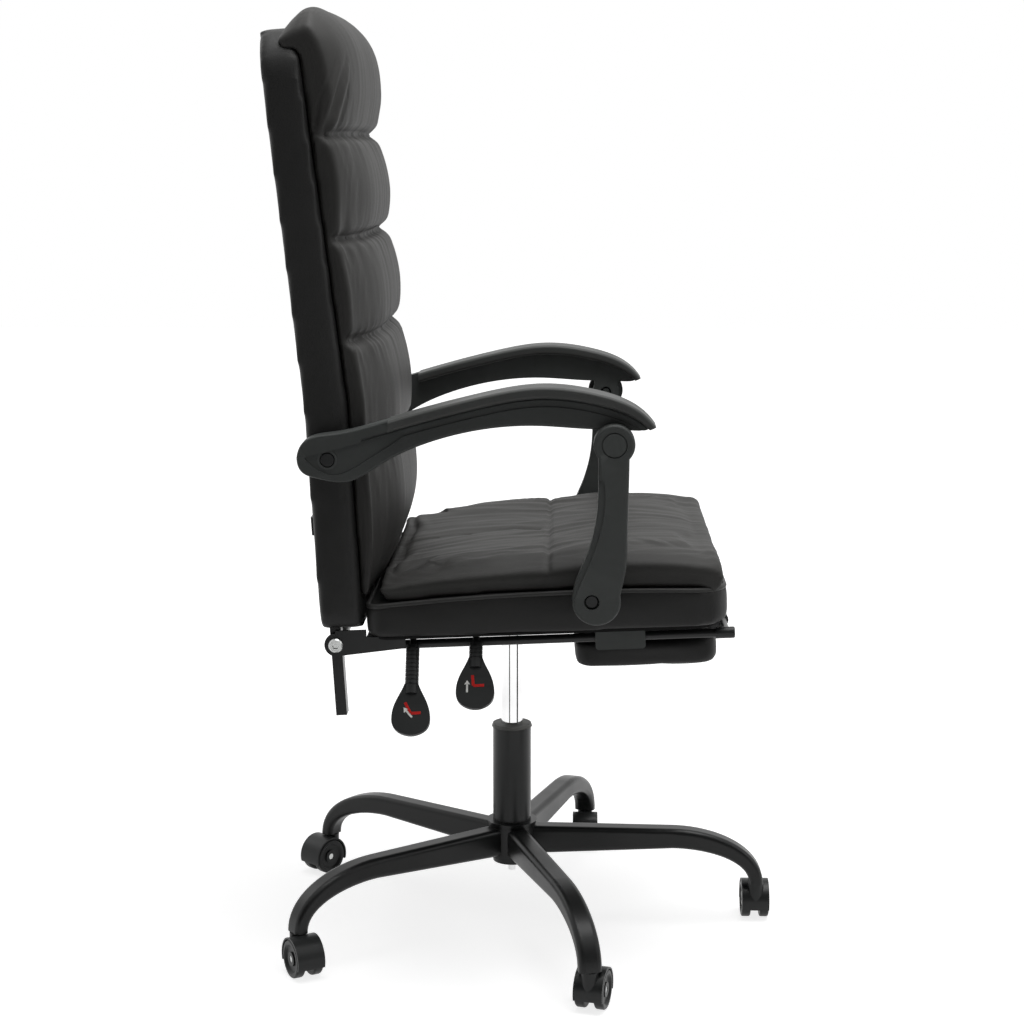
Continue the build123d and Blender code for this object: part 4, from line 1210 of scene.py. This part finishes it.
@dataclass(frozen=True)
class SignArrow:
    """An arrow that points up a paddle."""

    across: float
    low: float
    high: float
    turn: float = 0.0
    half_stem: float = 0.0012
    half_head: float = 0.0034
    head_length: float = 0.0051

    def outline(self) -> Outline:
        """Draws the arrow.

        Returns:
            Its corners, in order.
        """
        neck = self.high - self.head_length
        flat = [
            (-self.half_stem, self.low), (self.half_stem, self.low), (self.half_stem, neck),
            (self.half_head, neck), (0.0, self.high), (-self.half_head, neck),
            (-self.half_stem, neck),
        ]
        cosine, sine = math.cos(self.turn), math.sin(self.turn)
        return [(self.across + x * cosine - y * sine, x * sine + y * cosine) for x, y in flat]


@dataclass(frozen=True)
class SignBar:
    """A bar that starts at a foot point, turned from the paddle's X."""

    foot: Pair
    length: float
    turn: float = 0.0
    width: float = 0.0034

    def outline(self) -> Outline:
        """Draws the bar.

        Returns:
            Its corners, in order.
        """
        half = self.width / 2
        flat = [(0.0, -half), (self.length, -half), (self.length, half), (0.0, half)]
        cosine, sine = math.cos(self.turn), math.sin(self.turn)
        return [
            (self.foot[0] + x * cosine - y * sine, self.foot[1] + x * sine + y * cosine)
            for x, y in flat
        ]


class Lever(enum.Enum):
    """The two levers, by the names of their bodies."""

    LIFT = "lift_lever"
    RECLINE = "back_lever"


@dataclass
class PaddleSign:
    """The plain arrow and seat sign on the outer face of a lever's paddle."""

    lever: Lever
    forward: float
    middle: float
    white: bpy.types.Material
    red: bpy.types.Material
    out: float = 0.212
    level: float = -0.007
    slope: float = math.radians(60.0)
    half_thickness: float = 0.004
    proud: float = 0.00025

    def _plane(self) -> Matrix:
        """Works out the paddle's outer face.

        Returns:
            The matrix that carries a flat outline onto it, with Y up the paddle.
        """
        origin = SEAT.outside(Vector((self.forward, -self.out, self.level)))
        across = SEAT.outside(Vector((1.0, 0.0, 0.0))) - SEAT.origin
        down = Vector((0.0, -math.cos(self.slope), -math.sin(self.slope)))
        normal = down.cross(across).normalized()
        plane = Matrix((across, -down, normal)).transposed().to_4x4()
        plane.translation = origin + down * self.middle + normal * self.half_thickness
        return plane

    def _marks(self) -> tuple[SignArrow, tuple[SignBar, SignBar]]:
        """Chooses what this lever's sign shows.

        Returns:
            The white arrow, and the red seat and back.
        """
        if self.lever is Lever.LIFT:
            foot = (-0.002, -0.001)
            seat, back = SignBar(foot, 0.013), SignBar(foot, 0.013, math.radians(96.0))
            return SignArrow(-0.0095, -0.009, 0.006), (seat, back)
        foot = (0.000, -0.004)
        seat, back = SignBar(foot, 0.012), SignBar(foot, 0.015, math.radians(118.0))
        return SignArrow(-0.006, -0.012, 0.004, math.radians(40.0)), (seat, back)

    def build(self) -> None:
        """Builds the two colours of the sign, each as one piece."""
        body = self.lever.value
        plane = self._plane()
        arrow, seat_sign = self._marks()
        for colour, marks, material in (
            ("white", (arrow,), self.white), ("red", seat_sign, self.red),
        ):
            work = bmesh.new()
            for mark in marks:
                corners = [work.verts.new((x, y, 0.0)) for x, y in mark.outline()]
                raise_face(work, corners, Vector((0.0, 0.0, self.proud)))
            bmesh.ops.recalc_face_normals(work, faces=work.faces)
            bmesh.ops.transform(work, matrix=plane, verts=work.verts)
            piece = new_piece(work, f"{body}_{colour}_mark")
            dress(piece, material, smooth=False)
            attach(piece, body)
            LOG.info("%s: %d faces", piece.name, len(piece.data.polygons))


def seen_white(nodes: bpy.types.Nodes, links: bpy.types.NodeLinks) -> Socket:
    """Tells the rays by which the camera, metal and glass see the studio from the others.

    Args:
        nodes: the nodes of the world or material.
        links: its links.

    Returns:
        A factor of 1 for those rays and 0 for the others.
    """
    path = nodes.new("ShaderNodeLightPath")
    first, both = nodes.new("ShaderNodeMath"), nodes.new("ShaderNodeMath")
    for node in (first, both):
        node.operation = "MAXIMUM"
    links.new(path.outputs["Is Camera Ray"], first.inputs[0])
    links.new(path.outputs["Is Glossy Ray"], first.inputs[1])
    links.new(first.outputs["Value"], both.inputs[0])
    links.new(path.outputs["Is Transmission Ray"], both.inputs[1])
    return both.outputs["Value"]


@dataclass(frozen=True)
class StudioWorld:
    """A world that is white to the camera and gives the object a faint even light."""

    fill: float = 0.07
    seen: float = 1.0

    def build(self) -> None:
        """Builds the world."""
        world = bpy.data.worlds.new("studio_world")
        bpy.context.scene.world = world
        world.use_nodes = True
        nodes, links = world.node_tree.nodes, world.node_tree.links
        soft, white = nodes["Background"], nodes.new("ShaderNodeBackground")
        for background, strength in ((soft, self.fill), (white, self.seen)):
            background.inputs["Color"].default_value = (1.0, 1.0, 1.0, 1.0)
            background.inputs["Strength"].default_value = strength
        mix = nodes.new("ShaderNodeMixShader")
        links.new(seen_white(nodes, links), mix.inputs["Fac"])
        links.new(soft.outputs["Background"], mix.inputs[1])
        links.new(white.outputs["Background"], mix.inputs[2])
        links.new(mix.outputs["Shader"], nodes["World Output"].inputs["Surface"])


@dataclass(frozen=True)
class StudioFloor:
    """A pale floor that fades into the white and keeps a faint shadow."""

    half_size: float = 9.0
    tone: float = 0.55
    roughness: float = 0.9
    specular: float = 0.1
    glow_reach: Pair = (0.7, 1.8)
    glow: Pair = (0.80, 1.1)

    def _material(self) -> bpy.types.Material:
        """Builds the floor's material, which glows for the rays that see the studio.

        Returns:
            The material.
        """
        sheet = NodeSheet("floor_white")
        nodes, links, shader = sheet.nodes, sheet.links, sheet.shader
        shader.inputs["Base Color"].default_value = (self.tone, self.tone, self.tone, 1.0)
        shader.inputs["Roughness"].default_value = self.roughness
        shader.inputs["Specular IOR Level"].default_value = self.specular
        reach = nodes.new("ShaderNodeVectorMath")
        reach.operation = "LENGTH"
        links.new(sheet.place, reach.inputs[0])
        fade = sheet.span(reach.outputs["Value"], self.glow_reach, self.glow)
        shown = nodes.new("ShaderNodeMath")
        shown.operation = "MULTIPLY"
        links.new(fade, shown.inputs[0])
        links.new(seen_white(nodes, links), shown.inputs[1])
        glow, both = nodes.new("ShaderNodeEmission"), nodes.new("ShaderNodeAddShader")
        links.new(shown.outputs["Value"], glow.inputs["Strength"])
        links.new(shader.outputs["BSDF"], both.inputs[0])
        links.new(glow.outputs["Emission"], both.inputs[1])
        links.new(both.outputs["Shader"], nodes["Material Output"].inputs["Surface"])
        return sheet.material

    def build(self) -> None:
        """Builds the floor."""
        work = bmesh.new()
        bmesh.ops.create_grid(work, x_segments=1, y_segments=1, size=self.half_size)
        floor = new_piece(work, "floor")
        floor.data.materials.append(self._material())


@dataclass(frozen=True)
class BlackCard:
    """An upright black card that only shiny surfaces see, as a photographer's flag."""

    name: str
    place: Triple
    aim: Pair
    half_width: float
    half_height: float

    def _material(self) -> bpy.types.Material:
        """Builds a material that gives no light back.

        Returns:
            The material.
        """
        material = bpy.data.materials.new(self.name + "_black")
        material.use_nodes = True
        shader = material.node_tree.nodes["Principled BSDF"]
        shader.inputs["Base Color"].default_value = (0.0, 0.0, 0.0, 1.0)
        shader.inputs["Roughness"].default_value = 1.0
        shader.inputs["Specular IOR Level"].default_value = 0.0
        return material

    def build(self) -> None:
        """Stands the card so that it faces its aim on the floor."""
        toward = Vector((self.aim[0] - self.place[0], self.aim[1] - self.place[1], 0.0))
        toward.normalize()
        across = Vector((-toward.y, toward.x, 0.0)) * self.half_width
        rise = Vector((0.0, 0.0, self.half_height))
        work = bmesh.new()
        work.faces.new([
            work.verts.new(Vector(self.place) + across * along + rise * up)
            for along, up in ((-1, -1), (1, -1), (1, 1), (-1, 1))
        ])
        card = new_piece(work, self.name)
        card.data.materials.append(self._material())
        card.visible_camera = card.visible_diffuse = card.visible_shadow = False
        card.visible_transmission = False


@dataclass(frozen=True)
class SoftBox:
    """A square soft box that faces a point."""

    name: str
    place: Triple
    aim: Triple
    size: float
    power: float

    def build(self) -> None:
        """Hangs the lamp."""
        lamp = bpy.data.lights.new(self.name, "AREA")
        lamp.shape = "SQUARE"
        lamp.size = self.size
        lamp.energy = self.power
        stand = bpy.data.objects.new(self.name, lamp)
        stand.location = self.place
        toward = Vector(self.aim) - Vector(self.place)
        stand.rotation_euler = toward.to_track_quat("-Z", "Y").to_euler()
        bpy.context.scene.collection.objects.link(stand)


@dataclass(frozen=True)
class PhotoCamera:
    """The camera, at the photograph's viewing angle."""

    lens: float = 73.55
    sensor_width: float = 36.0
    place: Triple = (0.0474, -2.6617, 1.0187)
    pitch: float = math.radians(9.977)
    yaw: float = math.radians(1.45)

    def build(self) -> None:
        """Sets the camera."""
        lens = bpy.data.cameras.new("photo_camera")
        lens.lens = self.lens
        lens.sensor_width = self.sensor_width
        camera = bpy.data.objects.new("photo_camera", lens)
        camera.location = self.place
        camera.rotation_euler = (math.radians(90.0) - self.pitch, 0.0, self.yaw)
        bpy.context.scene.collection.objects.link(camera)
        bpy.context.scene.camera = camera
        bpy.context.scene.view_settings.view_transform = "Standard"


class Studio:
    """The world, the floor, the black cards, the lamps and the camera."""

    cards = (
        BlackCard("camera_flag", (0.0, -3.7, 2.2), (0.0, 0.0), half_width=4.2, half_height=1.9),
        BlackCard(
            "right_flag", (0.77, -0.43, 0.30), (-0.020, 0.0), half_width=0.12, half_height=0.30
        ),
        BlackCard(
            "left_flag", (-0.39, -0.82, 0.30), (-0.020, 0.0), half_width=0.08, half_height=0.30
        ),
    )
    lamps = (
        SoftBox("top_box", (0.35, -0.2, 3.2), (0.0, 0.0, 0.6), size=2.2, power=80.0),
        SoftBox("front_box", (3.0, -0.9, 1.9), (0.0, 0.0, 0.7), size=1.8, power=12.5),
        SoftBox("rear_box", (-2.6, 1.4, 2.2), (0.0, 0.0, 0.8), size=1.6, power=9.0),
        SoftBox("camera_box", (0.6, -3.2, 1.6), (0.0, 0.0, 0.5), size=2.0, power=2.0),
    )

    def build(self) -> None:
        """Builds the whole studio."""
        for item in (StudioWorld(), StudioFloor(), *self.cards, *self.lamps, PhotoCamera()):
            item.build()


def main() -> None:
    """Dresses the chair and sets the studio."""
    logging.basicConfig(level=logging.INFO, format="%(name)s %(message)s")
    finishes = Finishes()
    for node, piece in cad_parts.items():
        material = finishes.for_node(node)
        for slot in piece.material_slots:
            slot.material = material
    LOG.info("finished %d carried-over nodes", len(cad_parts))
    Upholstery(finishes).build()
    DustCover(finishes.dust_cloth).build()
    for lever, forward, middle in ((Lever.LIFT, -0.038, 0.062), (Lever.RECLINE, -0.114, 0.090)):
        PaddleSign(lever, forward, middle, finishes.sign_white, finishes.sign_red).build()
    Studio().build()


if __name__ == "__main__":
    main()
